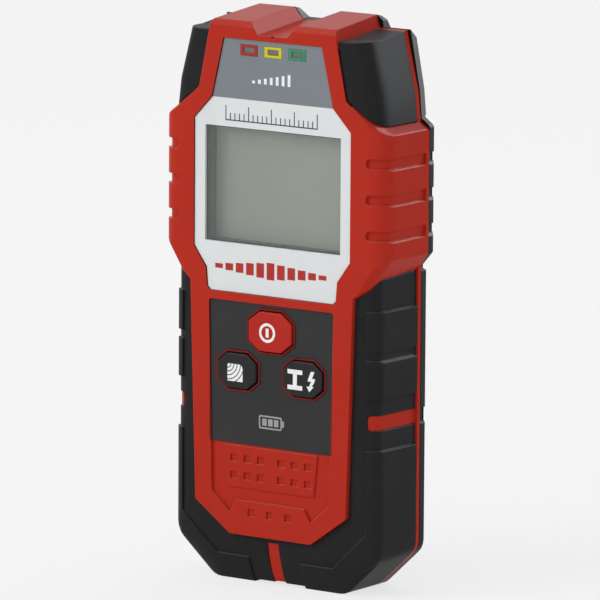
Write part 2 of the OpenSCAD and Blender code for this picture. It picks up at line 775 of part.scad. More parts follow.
module front_shell() color([0.70, 0.18, 0.14]) {
    difference() {
        union() {
            handle_form(-skin_t - mould_gap, shell_end_y);
            slab(rounded(shrink(both(concat(face_half, [[face_top_x, handle_top_z]])), face_gap),
                mirrored([0, face_r, 0, 0])), front_y, inner_y + 2 * cut_past);
            intersection() {
                handle_form(-pad_rise / 2, shell_end_y);
                stripe_area(mould_gap);
            }
            intersection() {
                handle_form(pad_rise, shell_end_y);
                box([-head_x, rim_y + mould_gap, -cut_past], [head_x, shell_end_y, handle_top_z]);
            }
            difference() {
                head_form(0, shell_end_y);
                difference() {
                    groove_bands(front_y - cut_past, groove_end_y);
                    head_form(-groove_depth, shell_end_y);
                }
                groove_slopes(front_y, groove_end_y);
            }
            block_form(-block_t - mould_gap, shell_end_y);
            intersection() {
                block_form(0, shell_end_y);
                box([-head_x, block_end_y + mould_gap, head_z], [head_x, shell_end_y, case_h]);
            }
            neck_form(shell_end_y);
            key_rims();
        }
        difference() {
            union() {
                hollow(0, front_y + edge_r, seam_y + cut_past);
                front_hollow(inner_y, front_y + edge_r + cut_past);
            }
            for (at = screw_at) rod(at, post_r, inner_y - cut_past, post_end_y);
            for (at = board_screw_at) rod(at, board_post_r, inner_y - cut_past, board_y);
        }
        bay_block(bay_wall + fit, bay_floor_y - bay_wall - fit, seam_y + cut_past);
        notch_cut();
        slab(rect([0, notch_floor_z], mark_w, 2 * mark_depth), front_y - cut_past, front_y + mark_depth);
        slab(both(label_half), front_y - cut_past, label_floor_y);
        difference() {
            relief_cut();
            key_rims();
        }
        key_holes();
        window_opening(window_ledge, front_y, inner_y + cut_past);
        light_openings(light_ledge, front_y, inner_y + cut_past);
        for (at = screw_at) rod(at, screw_r + fit, screw_seat_y - screw_l - cut_past, seam_y);
        for (at = board_screw_at) rod(at, board_screw_r + fit, board_bore_y, board_y + cut_past);
    }
}

// Rear outline of the neck, its blocks and horns
rear_step = [0.3, 0];
rear_top = [0.9, 0.2];
rear_neck_half = [[block_foot_x, shoulder_z] + rear_step, block_half[1] + rear_step,
    block_half[2] + [0, block_rise] + rear_top];
horn_back_y = rear_start_y + 1.4;
horn_end_y = back_y - 1.5;

module rear_neck_form() {
    rear_form(rear_neck_half, [0, 0, 0], 0, 0, neck_rear);
    intersection() {
        slab(both([[neck_foot_x, neck_z], [neck_top_x + 0.9, block_top_z], [neck_top_x + 0.6, top_z + 2],
            [neck_top_x - 1.3, case_h]]), rear_start_y, back_y);
        side_slab([[rear_start_y, neck_z], [horn_end_y, neck_z], [horn_end_y, block_top_z - 2],
            [horn_back_y, case_h - 0.4], [rear_start_y, case_h]], -neck_foot_x, neck_foot_x);
    }
}

module bay_block(d, y0, y1) {
    box([-bay_x - d, y0, bay_z - d], [bay_x + d, y1, bay_top_z + d]);
}

function door_half(top) = [[door_x - door_corner, door_z], [door_x, door_z + door_corner], [door_x, top]];

// Cylinder along X at [y, z], from x0 to x1.
module axle(at, r, x0, x1) {
    translate([x0, at[0], at[1]]) rotate([0, 90, 0]) cylinder(r = r, h = x1 - x0);
}

// Outside of the rear shell, with its grooves and the lip that enters the front shell.
// Right halves of the rear shell: its handle steps in below the head, and its shoulders stand higher.
dip = [1, 0.4];
dip_z = head_z + head_cut_h / 2;
rear_handle_x = handle_x + handle_draft;
rear_handle_half = [drafted(handle_draft)[0], drafted(handle_draft)[1], [rear_handle_x, dip_z],
    [rear_handle_x - dip[0], dip_z + dip[1]], [rear_handle_x - dip[0], handle_top_z]];
rear_handle_radii = [corner_r, corner_r, 0, 0, 0];
rear_lift = 0.9;
rear_head_half = [head_half[0], head_half[2], head_half[3] + [0, rear_lift], head_half[4] + [0, rear_lift]];
rear_head_radii = [0, head_corner_r, head_corner_r, 0];

module rear_outside() {
    difference() {
        rear_form(rear_handle_half, rear_handle_radii, pad_rise, 0, handle_rear);
        difference() {
            for (s = [0, 1]) mirror([s, 0, 0])
                box([handle_x - edge_r, rear_start_y - cut_past, stripe_z - stripe_h / 2],
                    [handle_x + edge_r, rear_inner_y, stripe_z + stripe_h / 2]);
            rear_form(rear_handle_half, rear_handle_radii, -pad_rise / 2, 2 * cut_past, handle_rear);
        }
    }
    difference() {
        rear_form(rear_head_half, rear_head_radii, 0, 0, head_rear);
        difference() {
            groove_bands(rear_start_y - cut_past, rear_inner_y);
            rear_form(rear_head_half, rear_head_radii, -groove_depth, 2 * cut_past, head_rear);
        }
        groove_slopes(rear_start_y - cut_past, rear_inner_y);
    }
    rear_neck_form();
    hollow(2 * fit, rear_start_y - lip_d, rear_start_y + cut_past);
}

module rear_shell() color([0.14, 0.14, 0.15]) {
    difference() {
        union() {
            difference() {
                rear_outside();
                hollow(lip_t, rear_start_y - 2 * lip_d, back_y - edge_r + 0.8);
                front_hollow(rear_start_y, rear_inner_y);
            }
            bay_block(bay_wall, bay_floor_y - bay_wall, rear_inner_y);
            for (at = screw_at) rod(at, post_r, post_end_y + 2 * fit, rear_inner_y + fit);
        }
        bay_block(0, bay_floor_y, back_y + cut_past);
        slab(shrink(both(door_half(hinge_z + barrel_r + fit)), -door_gap),
            rear_inner_y - fit, back_y + cut_past);
        axle([hinge_y, hinge_z], barrel_r + door_gap + fit, -door_x - door_gap, door_x + door_gap);
        axle([hinge_y, hinge_z], pin_r + pin_clearance,
            -door_x - pin_l - door_gap, door_x + pin_l + door_gap);
        for (at = screw_at) {
            rod(at, screw_r + fit, post_end_y - cut_past, back_y);
            rod(at, screw_head_r + 4 * fit, screw_seat_y, back_y + cut_past);
        }
        for (y = lead_y)
            box([-bay_x, y - 3 * lead_r, bay_top_z - cut_past],
                [battery_x, y + 3 * lead_r, bay_top_z + bay_wall + cut_past]);
        notch_cut();
    }
}

module upper_grip(side) {
    difference() {
        intersection() {
            block_form(0, shell_end_y);
            mirror([side < 0 ? 1 : 0, 0, 0]) box([0, front_y, head_z], [head_x, block_end_y, case_h]);
        }
        block_form(-block_t, shell_end_y + cut_past);
        slab(shrink(both(neck_half), -mould_gap), front_y - cut_past, seam_y);
        slab(outline(head_half, head_radii, mould_gap), front_y - cut_past, seam_y);
    }
}

module upper_grip_left() color([0.15, 0.15, 0.16]) upper_grip(-1);

module upper_grip_right() color([0.15, 0.15, 0.16]) upper_grip(1);

module lower_grip() color([0.15, 0.15, 0.16]) {
    difference() {
        union() {
            intersection() {
                handle_form(0, rim_y);
                grip_area(0, front_y - cut_past, rim_y);
            }
            intersection() {
                handle_form(pad_rise, rim_y);
                grip_area(0, front_y - 2 * cut_past, rim_y);
                pad_area();
            }
        }
        handle_form(-skin_t, rim_y + cut_past);
        slab(outline(head_half, head_radii, mould_gap), front_y - cut_past, seam_y);
        stripe_area(0);
        pad_edges();
    }
}

module label_panel() color([0.85, 0.86, 0.87]) {
    difference() {
        slab(shrink(both(label_half), fit), label_y, label_floor_y);
        window_opening(0, label_y - cut_past, label_floor_y + cut_past);
        light_openings(0, label_y - cut_past, label_floor_y + cut_past);
    }
}

module display_window() color([0.6, 0.65, 0.6, 0.4]) window_opening(fit, label_y, label_floor_y);

module led_window(k) {
    slab(rect([k * led_pitch, led_z], led_w - 2 * fit, led_h - 2 * fit), label_y, label_floor_y);
}

module led_window_red() color([0.72, 0.18, 0.18]) led_window(-1);

module led_window_yellow() color([0.82, 0.78, 0.12]) led_window(0);

module led_window_green() color([0.24, 0.55, 0.41]) led_window(1);

module keypad_overlay() color([0.22, 0.22, 0.23]) {
    difference() {
        slab(rounded(shrink(both(panel_half), fit), mirrored([0, panel_corner_r])), panel_y, panel_floor_y);
        for (k = key_list)
            slab(shrink(octagon(k[0], k[1], k[2], k[3]), -fit), panel_y - cut_past, panel_floor_y + cut_past);
    }
}

// One key: its cap in the rim, a flange behind the face and a stem towards the board.
module key(k) {
    outline = octagon(k[0], k[1], k[2], k[3]);
    flange_y = inner_y + key_slack;
    slab(shrink(outline, rim_w + key_gap), front_y - key_proud, flange_y + key_flange_t);
    slab(shrink(outline, rim_w - key_flange), flange_y, flange_y + key_flange_t);
    rod(k[0], stem_r, flange_y, pill_y);
}

module pill(k) {
    rod(k[0], pill_r, pill_y, pill_y + pill_t);
}

module power_button() color([0.72, 0.16, 0.13]) key(power_key);

module stud_button() color([0.12, 0.12, 0.13]) key(stud_key);

module metal_button() color([0.12, 0.12, 0.13]) key(metal_key);

module power_pill() color([0.08, 0.08, 0.08]) pill(power_key);

module stud_pill() color([0.08, 0.08, 0.08]) pill(stud_key);

module metal_pill() color([0.08, 0.08, 0.08]) pill(metal_key);

module keypad_mat() color([0.45, 0.45, 0.46]) {
    difference() {
        union() {
            box([-mat_x, board_y - mat_t, stud_at[1] - side_key_h / 2 - mat_margin],
                [mat_x, board_y, power_at[1] + power_h / 2]);
            for (k = key_list) rod(k[0], mat_hole_r + collar_t, board_y - mat_t - collar_h, board_y);
        }
        for (k = key_list) rod(k[0], mat_hole_r, board_y - mat_t - collar_h - cut_past, board_y + cut_past);
    }
}

module lcd_frame() color([0.25, 0.26, 0.27]) {
    difference() {
        slab(rect([0, head_mid_z], lcd_w, lcd_h), inner_y, lcd_y);
        window_opening(window_ledge, inner_y - cut_past, lcd_y + cut_past);
    }
}

module lcd_glass() color([0.56, 0.58, 0.54]) slab(rect([0, head_mid_z], lcd_w, lcd_h), lcd_y, lcd_back_y);

module lcd_backlight() color([0.9, 0.9, 0.88]) {
    slab(rect([0, head_mid_z], lcd_w, lcd_h - 2 * connector_h - 4 * fit), lcd_back_y, board_y);
}

module lcd_connectors() color([0.5, 0.35, 0.4]) {
    for (s = [-1, 1])
        slab(rect([0, head_mid_z + s * (lcd_h - connector_h) / 2], lcd_w - 2, connector_h),
            lcd_back_y, board_y);
}

module main_board() color([0.12, 0.38, 0.2]) {
    difference() {
        slab(both(board_half), board_y, board_back_y);
        for (at = board_screw_at)
            rod(at, board_screw_r + 2 * fit, board_y - cut_past, board_back_y + cut_past);
    }
}

module controller_chip() color([0.1, 0.1, 0.1]) {
    slab(rect(chip_at, chip_w, chip_w), board_back_y + 2 * fit, board_back_y + chip_t);
    for (s = [-1, 1], i = [0:chip_pins - 1])
        slab(rect(chip_at + [s * (chip_w + chip_pin_w) / 2, (i - (chip_pins - 1) / 2) * chip_pitch],
            chip_pin_l, chip_pin_w), board_back_y, board_back_y + chip_pin_w);
}

module board_parts() color([0.5, 0.45, 0.35]) {
    for (s = [-1, 1]) {
        rod([s * capacitor_at[0], capacitor_at[1]], capacitor_r, board_back_y, board_back_y + capacitor_h);
        for (i = [0:small_parts])
            slab(rect([s * small_part_at[0], small_part_at[1] + small_part_pitch * i],
                small_part[0], small_part[1]), board_back_y, board_back_y + small_part[2]);
    }
}

module buzzer() color([0.12, 0.12, 0.12]) {
    difference() {
        rod([0, power_at[1]], buzzer_r, board_back_y, board_back_y + buzzer_t);
        rod([0, power_at[1]], buzzer_hole_r, board_back_y + buzzer_t / 2, board_back_y + buzzer_t + cut_past);
    }
}

module board_header() color([0.85, 0.83, 0.76]) {
    box([-header_x, board_back_y, header_z], [header_x, board_back_y + header_t, header_z + header_h]);
}

// One lamp: a flat body that reaches into its opening, on a wider base.
module led(k) {
    at = [k * led_pitch, led_z];
    slack = 8 * fit;
    slab(rect(at, led_w - 2 * light_ledge - slack, led_h - 2 * light_ledge - slack),
        label_floor_y + 4 * fit, board_y);
    slab(rect(at, led_w - light_ledge, led_h - 2 * fit), board_y - led_base_t, board_y);
}

module led_red() color([0.7, 0.2, 0.2]) led(-1);

module led_yellow() color([0.8, 0.75, 0.2]) led(0);

module led_green() color([0.2, 0.6, 0.3]) led(1);

module sensor_board() color([0.12, 0.38, 0.2]) {
    box([-sensor_x, sensor_y, sensor_z], [sensor_x, rear_inner_y, sensor_top_z]);
}

module sensor_plates() color([0.8, 0.5, 0.3]) {
    for (s = [-1, 0, 1])
        box([s * plate_pitch - plate_w / 2, sensor_y - foil_t, coil_z - plate_h / 2],
            [s * plate_pitch + plate_w / 2, sensor_y, coil_z + plate_h / 2]);
}

// Ring about an axis along Y, from radius r0 to r1 and from y0 to y1.
module ring(r0, r1, y0, y1) {
    translate([0, y1, coil_z]) rotate([90, 0, 0]) rotate_extrude()
        translate([r0, 0]) square([r1 - r0, y1 - y0]);
}

module coil_former() color([0.3, 0.3, 0.32]) {
    ring(core_r - former_wall, core_r, sensor_y - former_t, sensor_y);
    ring(core_r - former_wall, coil_r, sensor_y - former_t, sensor_y - former_t + former_wall);
    ring(core_r - former_wall, coil_r, sensor_y - former_wall, sensor_y);
}

module search_coil() color([0.72, 0.42, 0.2]) {
    ring(core_r + fit, coil_r - 0.5, sensor_y - former_t + former_wall + fit, sensor_y - former_wall - fit);
}

module battery() color([0.2, 0.22, 0.3]) {
    y0 = battery_back_y - battery_t;
    z0 = bay_z + bay_slack;
    side_slab([[y0 + battery_edge, z0], [battery_back_y - battery_edge, z0],
        [battery_back_y, z0 + battery_edge], [battery_back_y, z0 + battery_h - battery_edge],
        [battery_back_y - battery_edge, z0 + battery_h], [y0 + battery_edge, z0 + battery_h],
        [y0, z0 + battery_h - battery_edge], [y0, z0 + battery_edge]], battery_x, battery_x + battery_l);
}

module battery_terminals() color([0.8, 0.8, 0.78]) {
    axle([stud_y, stud_z - stud_pitch / 2], male_r, battery_x - terminal_h, battery_x);
    axle([stud_y, stud_z + stud_pitch / 2], female_r, battery_x - terminal_h, battery_x);
}

module contact_block() color([0.1, 0.1, 0.1]) {
    box([contact_x, stud_y - contact_half_w, bay_z + contact_margin],
        [contact_x + contact_t, stud_y + contact_half_w, bay_top_z - contact_margin]);
}

module contact_plates() color([0.8, 0.8, 0.78]) {
    for (s = [-1, 1])
        axle([stud_y, stud_z + s * stud_pitch / 2], contact_r,
            contact_x + contact_t, contact_x + contact_t + plate_t);
}

// Point of a cubic curve through its two ends, drawn towards the two points between.
function cubic(p, t) = pow(1 - t, 3) * p[0] + 3 * t * pow(1 - t, 2) * p[1]
    + 3 * t * t * (1 - t) * p[2] + pow(t, 3) * p[3];

// Lead from the contact block to the header on the board.
module lead(i) {
    start = [contact_x + contact_t / 2, lead_y[i], bay_top_z - contact_margin];
    finish = [-header_x, board_back_y + header_t / 2, header_z + header_h * (i + 1) / 3];
    curve = [start, start + [0, 0, lead_rise], finish - [lead_reach, 0, 0], finish];
    skin([
        for (k = [0:lead_steps])
        let (
            t = k / lead_steps,
            p = cubic(curve, t),
            ahead = k == 0 ? [0, 0, 1] : k == lead_steps ? [1, 0, 0]
                : unit(cubic(curve, t + 0.01) - cubic(curve, t - 0.01)),
            u = unit(cross([0, 1, 0], ahead)),
            v = cross(ahead, u)
        )
        [for (a = [0:45:315]) p + lead_r * (cos(a) * u - sin(a) * v)]
    ]);
}

module lead_positive() color([0.7, 0.1, 0.1]) lead(0);

module lead_negative() color([0.08, 0.08, 0.08]) lead(1);

module battery_door() color([0.14, 0.14, 0.15]) {
    difference() {
        union() {
            slab(both(door_half(hinge_z)), rear_inner_y, back_y);
            axle([hinge_y, hinge_z], barrel_r, -door_x, door_x);
            axle([hinge_y, hinge_z], pin_r, -door_x - pin_l, door_x + pin_l);
        }
        for (i = [0:door_grooves - 1])
            slab(rect([0, door_z + (i + 2) * door_groove_pitch], door_groove_w, door_groove_pitch / 2),
                back_y - door_groove_depth, back_y + cut_past);
    }
}

module housing_screws() color([0.6, 0.6, 0.62]) {
    for (at = screw_at) difference() {
        union() {
            rod(at, screw_r, screw_seat_y - screw_l, screw_seat_y + fit);
            rod(at, screw_head_r, screw_seat_y, screw_seat_y + screw_head_t);
        }
        for (a = [0, 90])
            translate([at[0], screw_seat_y + screw_head_t, at[1]]) rotate([0, a, 0])
                cube(screw_slot, center = true);
    }
}

module board_screws() color([0.6, 0.6, 0.62]) {
    for (at = board_screw_at) {
        rod(at, board_screw_r, board_bore_y + board_screw_r, board_back_y + fit);
        rod(at, board_screw_head_r, board_back_y, board_back_y + board_screw_head_t);
    }
}

front_shell();
rear_shell();
upper_grip_left();
upper_grip_right();
lower_grip();
label_panel();
display_window();
led_window_red();
led_window_yellow();
led_window_green();
keypad_overlay();
power_button();
stud_button();
metal_button();
power_pill();
stud_pill();
metal_pill();
keypad_mat();
lcd_frame();
lcd_glass();
lcd_backlight();
lcd_connectors();
main_board();
controller_chip();
board_parts();
buzzer();
board_header();
led_red();
led_yellow();
led_green();
sensor_board();
sensor_plates();
coil_former();
search_coil();
battery();
battery_terminals();
contact_block();
contact_plates();
lead_positive();
lead_negative();
battery_door();
housing_screws();
board_screws();
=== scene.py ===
import json
import math

import bpy
import numpy as np
from mathutils import Matrix, Vector


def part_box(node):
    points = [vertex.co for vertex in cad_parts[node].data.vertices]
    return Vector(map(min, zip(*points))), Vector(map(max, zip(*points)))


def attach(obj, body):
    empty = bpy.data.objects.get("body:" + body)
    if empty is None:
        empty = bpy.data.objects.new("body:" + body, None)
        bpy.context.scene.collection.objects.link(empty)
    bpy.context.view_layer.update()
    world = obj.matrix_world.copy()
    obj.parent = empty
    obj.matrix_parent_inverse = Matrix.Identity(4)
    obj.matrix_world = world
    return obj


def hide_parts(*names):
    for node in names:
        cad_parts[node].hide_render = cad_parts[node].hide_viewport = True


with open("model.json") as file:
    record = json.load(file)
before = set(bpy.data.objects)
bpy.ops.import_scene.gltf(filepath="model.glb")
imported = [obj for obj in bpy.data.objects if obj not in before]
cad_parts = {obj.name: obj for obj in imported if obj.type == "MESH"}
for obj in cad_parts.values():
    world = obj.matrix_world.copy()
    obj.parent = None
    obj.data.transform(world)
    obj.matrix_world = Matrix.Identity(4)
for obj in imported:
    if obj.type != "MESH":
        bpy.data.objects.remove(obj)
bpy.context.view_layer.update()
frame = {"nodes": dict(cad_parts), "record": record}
mm = 0.001
print("frame:", len(frame["nodes"]), "nodes")

# The camera stands where the photograph was taken from
viewpoint = {
    "azimuth": 35.459, "elevation": 9.519, "roll": 0.36, "distance": 1.8522,
    "target": (0.0, 0.0002, 0.07318), "focalPixels": 7217.7, "imageSide": 600.0,
    "opticalCentre": (301.1, 300.1), "sensor": 36.0,
}


def placeCamera(look):
    a, e, r = (math.radians(look[k]) for k in ("azimuth", "elevation", "roll"))
    back = Vector((math.sin(a) * math.cos(e), -math.cos(a) * math.cos(e), math.sin(e)))
    level = Vector((math.cos(a), math.sin(a), 0.0))
    rise = back.cross(level)
    right = level * math.cos(r) + rise * math.sin(r)
    up = rise * math.cos(r) - level * math.sin(r)
    camera = bpy.data.objects.new("camera", bpy.data.cameras.new("camera"))
    bpy.context.scene.collection.objects.link(camera)
    turn = Matrix((right, up, back)).transposed().to_4x4()
    camera.matrix_world = Matrix.Translation(Vector(look["target"]) + back * look["distance"]) @ turn
    side = look["imageSide"]
    camera.data.sensor_width = look["sensor"]
    camera.data.lens = look["focalPixels"] / side * look["sensor"]
    camera.data.shift_x = (side / 2 - look["opticalCentre"][0]) / side
    camera.data.shift_y = (look["opticalCentre"][1] - side / 2) / side
    bpy.context.scene.camera = camera


placeCamera(viewpoint)
print("camera placed")

# Shader helpers: a value is either a number, a colour or another node's output
noiseBand = (0.3, 0.7)  # the part of a noise's range that is put to use
toneBand = (0.36, 0.64)  # the same for the mixed noise that moves a colour
toneShare = (0.7, 0.3)  # cloud and grain in that mix
cloudDetail = 3.0
grainRoughness = 0.6
cornerSamples = 8
cornerTurned = (0.98, 0.86)  # how far a corner's normal leaves the flat face, as a cosine
cornerFacing = (0.1, 0.55)  # how far it turns to the painted highlight's side, as a cosine
white = (1.0, 1.0, 1.0, 1.0)
uprightBands = {"wave_type": "BANDS", "bands_direction": "X"}


def linear(colour):
    # screen colour, 0 to 255, as linear light
    share = np.array(colour, float) / 255
    low, high = share / 12.92, ((share + 0.055) / 1.055) ** 2.4
    return (*np.where(share <= 0.04045, low, high).tolist(), 1.0)


def feed(tree, value, socket):
    if isinstance(value, bpy.types.NodeSocket):
        tree.links.new(value, socket)
    else:
        socket.default_value = value


def addNode(tree, kind, settings=None, **inputs):
    node = tree.nodes.new("ShaderNode" + kind)
    for name, value in (settings or {}).items():
        setattr(node, name, value)
    for name, value in inputs.items():
        feed(tree, value, node.inputs[name])
    return node


def calc(tree, operation, *values):
    node = addNode(tree, "Math", {"operation": operation})
    for socket, value in zip(node.inputs, values):
        feed(tree, value, socket)
    return node.outputs[0]


def mixColour(tree, share, first, second):
    # 6, 7 and 2 are the colour sockets of the mix
    node = addNode(tree, "Mix", {"data_type": "RGBA"})
    feed(tree, share, node.inputs[0])
    feed(tree, first, node.inputs[6])
    feed(tree, second, node.inputs[7])
    return node.outputs[2]


def mixShaders(tree, share, first, second, end):
    node = addNode(tree, "MixShader", Fac=share)
    tree.links.new(first.outputs[0], node.inputs[1])
    tree.links.new(second.outputs[0], node.inputs[2])
    tree.links.new(node.outputs[0], tree.nodes[end].inputs["Surface"])


def dotted(tree, first, second):
    node = addNode(tree, "VectorMath", {"operation": "DOT_PRODUCT"})
    feed(tree, first, node.inputs[0])
    feed(tree, second, node.inputs[1])
    return node.outputs["Value"]


def spread(tree, value, low, high, toLow, toHigh):
    node = addNode(tree, "MapRange", {"clamp": True})
    for socket, number in zip(node.inputs, (value, low, high, toLow, toHigh)):
        feed(tree, number, socket)
    return node.outputs[0]


def swing(tree, value, low, high):
    # carries the middle of a noise's range to another range
    return spread(tree, value, *noiseBand, low, high)


def newFinish(name):
    material = bpy.data.materials.new(name)
    material.use_nodes = True
    tree = material.node_tree
    place = addNode(tree, "TexCoord").outputs["Object"]
    return material, tree, tree.nodes["Principled BSDF"], place


def noise(tree, place, scale, detail=2.0, roughness=0.5):
    node = addNode(tree, "TexNoise", Scale=scale, Detail=detail, Roughness=roughness)
    tree.links.new(place, node.inputs["Vector"])
    return node.outputs[0]


def waves(tree, place, settings, scale, waver):
    node = addNode(tree, "TexWave", settings, Scale=scale, Distortion=waver)
    tree.links.new(place, node.inputs["Vector"])
    return node


def axes(tree, place):
    node = addNode(tree, "SeparateXYZ")
    tree.links.new(place, node.inputs[0])
    return node.outputs


def rounding(tree, radius):
    # the normal that a corner would have if it were rounded
    return addNode(tree, "Bevel", {"samples": cornerSamples}, Radius=radius * mm).outputs[0]


def relief(tree, bsdf, height, depth, strength=1.0, edge=0.0):
    # fine height over the surface; an edge radius also rounds the corners in the shading
    bump = addNode(tree, "Bump", Height=height, Distance=depth, Strength=strength)
    if edge:
        tree.links.new(rounding(tree, edge), bump.inputs["Normal"])
    tree.links.new(bump.outputs[0], bsdf.inputs["Normal"])


def fixed(bsdf, settings):
    for name, value in settings.items():
        bsdf.inputs[name].default_value = value


def gapFrom(tree, value, middle):
    return calc(tree, "ABSOLUTE", calc(tree, "SUBTRACT", value, middle))


def behind(tree, place, node, margin):
    # 1 where a surface lies in front of or behind another piece's box, within a margin
    low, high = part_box(node)
    inside = 1.0
    for axis in (0, 2):
        middle, half = (low[axis] + high[axis]) / 2, (high[axis] - low[axis]) / 2 + margin * mm
        away = gapFrom(tree, axes(tree, place)[axis], middle)
        inside = calc(tree, "MULTIPLY", inside, calc(tree, "LESS_THAN", away, half))
    return inside


def recessWall(tree, place, node, margin, face, depth):
    # the same, but only from a little below a face down to the back of the piece; it places painted shade
    # on recess walls
    sunk = calc(tree, "GREATER_THAN", axes(tree, place)[1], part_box(face)[0].y + depth * mm)
    shallow = calc(tree, "LESS_THAN", axes(tree, place)[1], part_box(node)[1].y)
    return calc(tree, "MULTIPLY", behind(tree, place, node, margin), calc(tree, "MULTIPLY", sunk, shallow))


def paintedHighlightMask(tree, radius, towards):
    # mask for a painted highlight line
    # 1 along corners that turn to one direction, 0 on the flats and on corners that turn away
    corner = rounding(tree, radius)
    flat = addNode(tree, "NewGeometry").outputs["Normal"]
    turned = spread(tree, dotted(tree, corner, flat), *cornerTurned, 0.0, 1.0)
    facing = spread(tree, dotted(tree, corner, towards), *cornerFacing, 0.0, 1.0)
    return calc(tree, "MULTIPLY", turned, facing)


def grained(name, look):
    # colour drifts slowly between two tones; a fine grain moves roughness and height
    material, tree, bsdf, place = newFinish(name)
    cloud = noise(tree, place, look["cloud"], cloudDetail)
    grain = noise(tree, place, look["grain"], roughness=grainRoughness)
    slow, fine = (calc(tree, "MULTIPLY", part, share) for part, share in zip((cloud, grain), toneShare))
    share = spread(tree, calc(tree, "ADD", slow, fine), *toneBand, 0.0, 1.0)
    colour = mixColour(tree, share, look["dark"], look["light"])
    # painted highlight: a paler line along corners that turn to the highlight's side
    if "line" in look:
        colour = mixColour(tree, paintedHighlightMask(tree, look["edge"], look["lineSide"]), colour, look["line"])
    # painted shade: recess walls round chosen pieces darkened
    for node, margin, shade in look.get("walls", ()):
        wall = recessWall(tree, place, node, margin, look["wallFace"], look["wallFrom"])
        colour = mixColour(tree, wall, colour, shade)
    # painted shade: a darker colour on surfaces in front of or behind chosen pieces
    for node, margin, shade in look.get("paintedShades", ()):
        colour = mixColour(tree, behind(tree, place, node, margin), colour, shade)
    feed(tree, colour, bsdf.inputs["Base Color"])
    feed(tree, swing(tree, grain, *look["rough"]), bsdf.inputs["Roughness"])
    relief(tree, bsdf, grain, look["depth"], look.get("strength", 0.3), look.get("edge", 0.0))
    fixed(bsdf, look.get("fixed", {}))
    return material


# Finishes that are seen from outside
# painted highlight: corners that turn this way, up and a little left, get a paler line
paintedHighlightSide = (-0.45, 0.0, 0.89)
redPlastic = {
    "dark": (0.458, 0.0300, 0.0170, 1.0), "light": (0.500, 0.0340, 0.0200, 1.0),
    "cloud": 26.0, "grain": 2600.0, "rough": (0.17, 0.24), "depth": 0.00003, "edge": 0.3,
    # painted highlight colour on upward corners
    "line": (0.65, 0.155, 0.120, 1.0), "lineSide": paintedHighlightSide,
    "wallFace": "front_shell", "wallFrom": 0.03,
    # painted shade: darker walls in the recesses round the label and the key panel
    "walls": (("label_panel", 0.08, (0.070, 0.0120, 0.0100, 1.0)),
              ("keypad_overlay", 0.08, (0.090, 0.0130, 0.0100, 1.0))),
    # painted shade: darker key rims, and near black on the shell seen through the display window
    "paintedShades": (("keypad_overlay", -0.2, (0.195, 0.0220, 0.0160, 1.0)),
               ("display_window", 0.3, (0.048, 0.0400, 0.0380, 1.0))),
    "fixed": {"Specular IOR Level": 0.03},
}
blackRubber = {
    "dark": (0.0200, 0.0204, 0.0217, 1.0), "light": (0.0252, 0.0257, 0.0272, 1.0),
    "cloud": 60.0, "grain": 3200.0, "rough": (0.34, 0.44), "depth": 0.00003, "edge": 0.4,
    # painted highlight colour on upward corners
    "line": (0.120, 0.122, 0.127, 1.0), "lineSide": paintedHighlightSide,
    "fixed": {"Specular IOR Level": 0.03},
}
blackPlastic = {
    "dark": (0.0065, 0.0065, 0.0070, 1.0), "light": (0.0110, 0.0110, 0.0118, 1.0),
    "cloud": 45.0, "grain": 2400.0, "rough": (0.32, 0.42), "depth": 0.00004, "edge": 0.35,
    "fixed": {"Specular IOR Level": 0.10},
}
satin = {"fixed": {"Specular IOR Level": 0.25}}
keyPanel = {
    **satin, "dark": (0.0190, 0.0190, 0.0202, 1.0), "light": (0.0250, 0.0250, 0.0264, 1.0),
    "cloud": 50.0, "grain": 3600.0, "rough": (0.48, 0.58), "depth": 0.00002,
}
keyRed = {
    "dark": (0.440, 0.0140, 0.0060, 1.0), "light": (0.485, 0.0170, 0.0075, 1.0),
    "cloud": 70.0, "grain": 3000.0, "rough": (0.34, 0.44), "depth": 0.00002,
    "fixed": {"Specular IOR Level": 0.2},
}
keyBlack = {
    **satin, "dark": (0.0085, 0.0085, 0.0088, 1.0), "light": (0.0125, 0.0122, 0.0122, 1.0),
    "cloud": 70.0, "grain": 3000.0, "rough": (0.42, 0.52), "depth": 0.00002,
}
darkFrame = {
    **satin, "dark": (0.050, 0.049, 0.050, 1.0), "light": (0.075, 0.073, 0.074, 1.0),
    "cloud": 60.0, "grain": 2400.0, "rough": (0.50, 0.62), "depth": 0.00003,
}
ink = {**satin, "cloud": 300.0, "grain": 5000.0, "rough": (0.45, 0.58), "depth": 0.00001}
whiteInk = {**ink, "dark": linear((243, 244, 244)), "light": linear((250, 250, 250))}
darkInk = {**ink, "dark": linear((52, 53, 56)), "light": linear((64, 65, 68))}
redInk = {**ink, "dark": linear((174, 42, 38)), "light": linear((184, 48, 43)), "rough": (0.42, 0.55)}
greyInk = {**ink, "dark": linear((150, 152, 154)), "light": linear((164, 166, 168))}
frameInk = {**satin, "cloud": 240.0, "grain": 4000.0, "rough": (0.35, 0.48), "depth": 0.00001}

labelPrint = {
    "white": (linear((223, 226, 227)), linear((231, 234, 235))),
    "grey": (linear((120, 127, 132)), linear((130, 137, 142))),
    "border": 0.1258, "cloud": 22.0, "grain": 4200.0, "rough": (0.40, 0.50),
    "depth": 0.00001, "strength": 0.2, "gloss": 0.25,
}


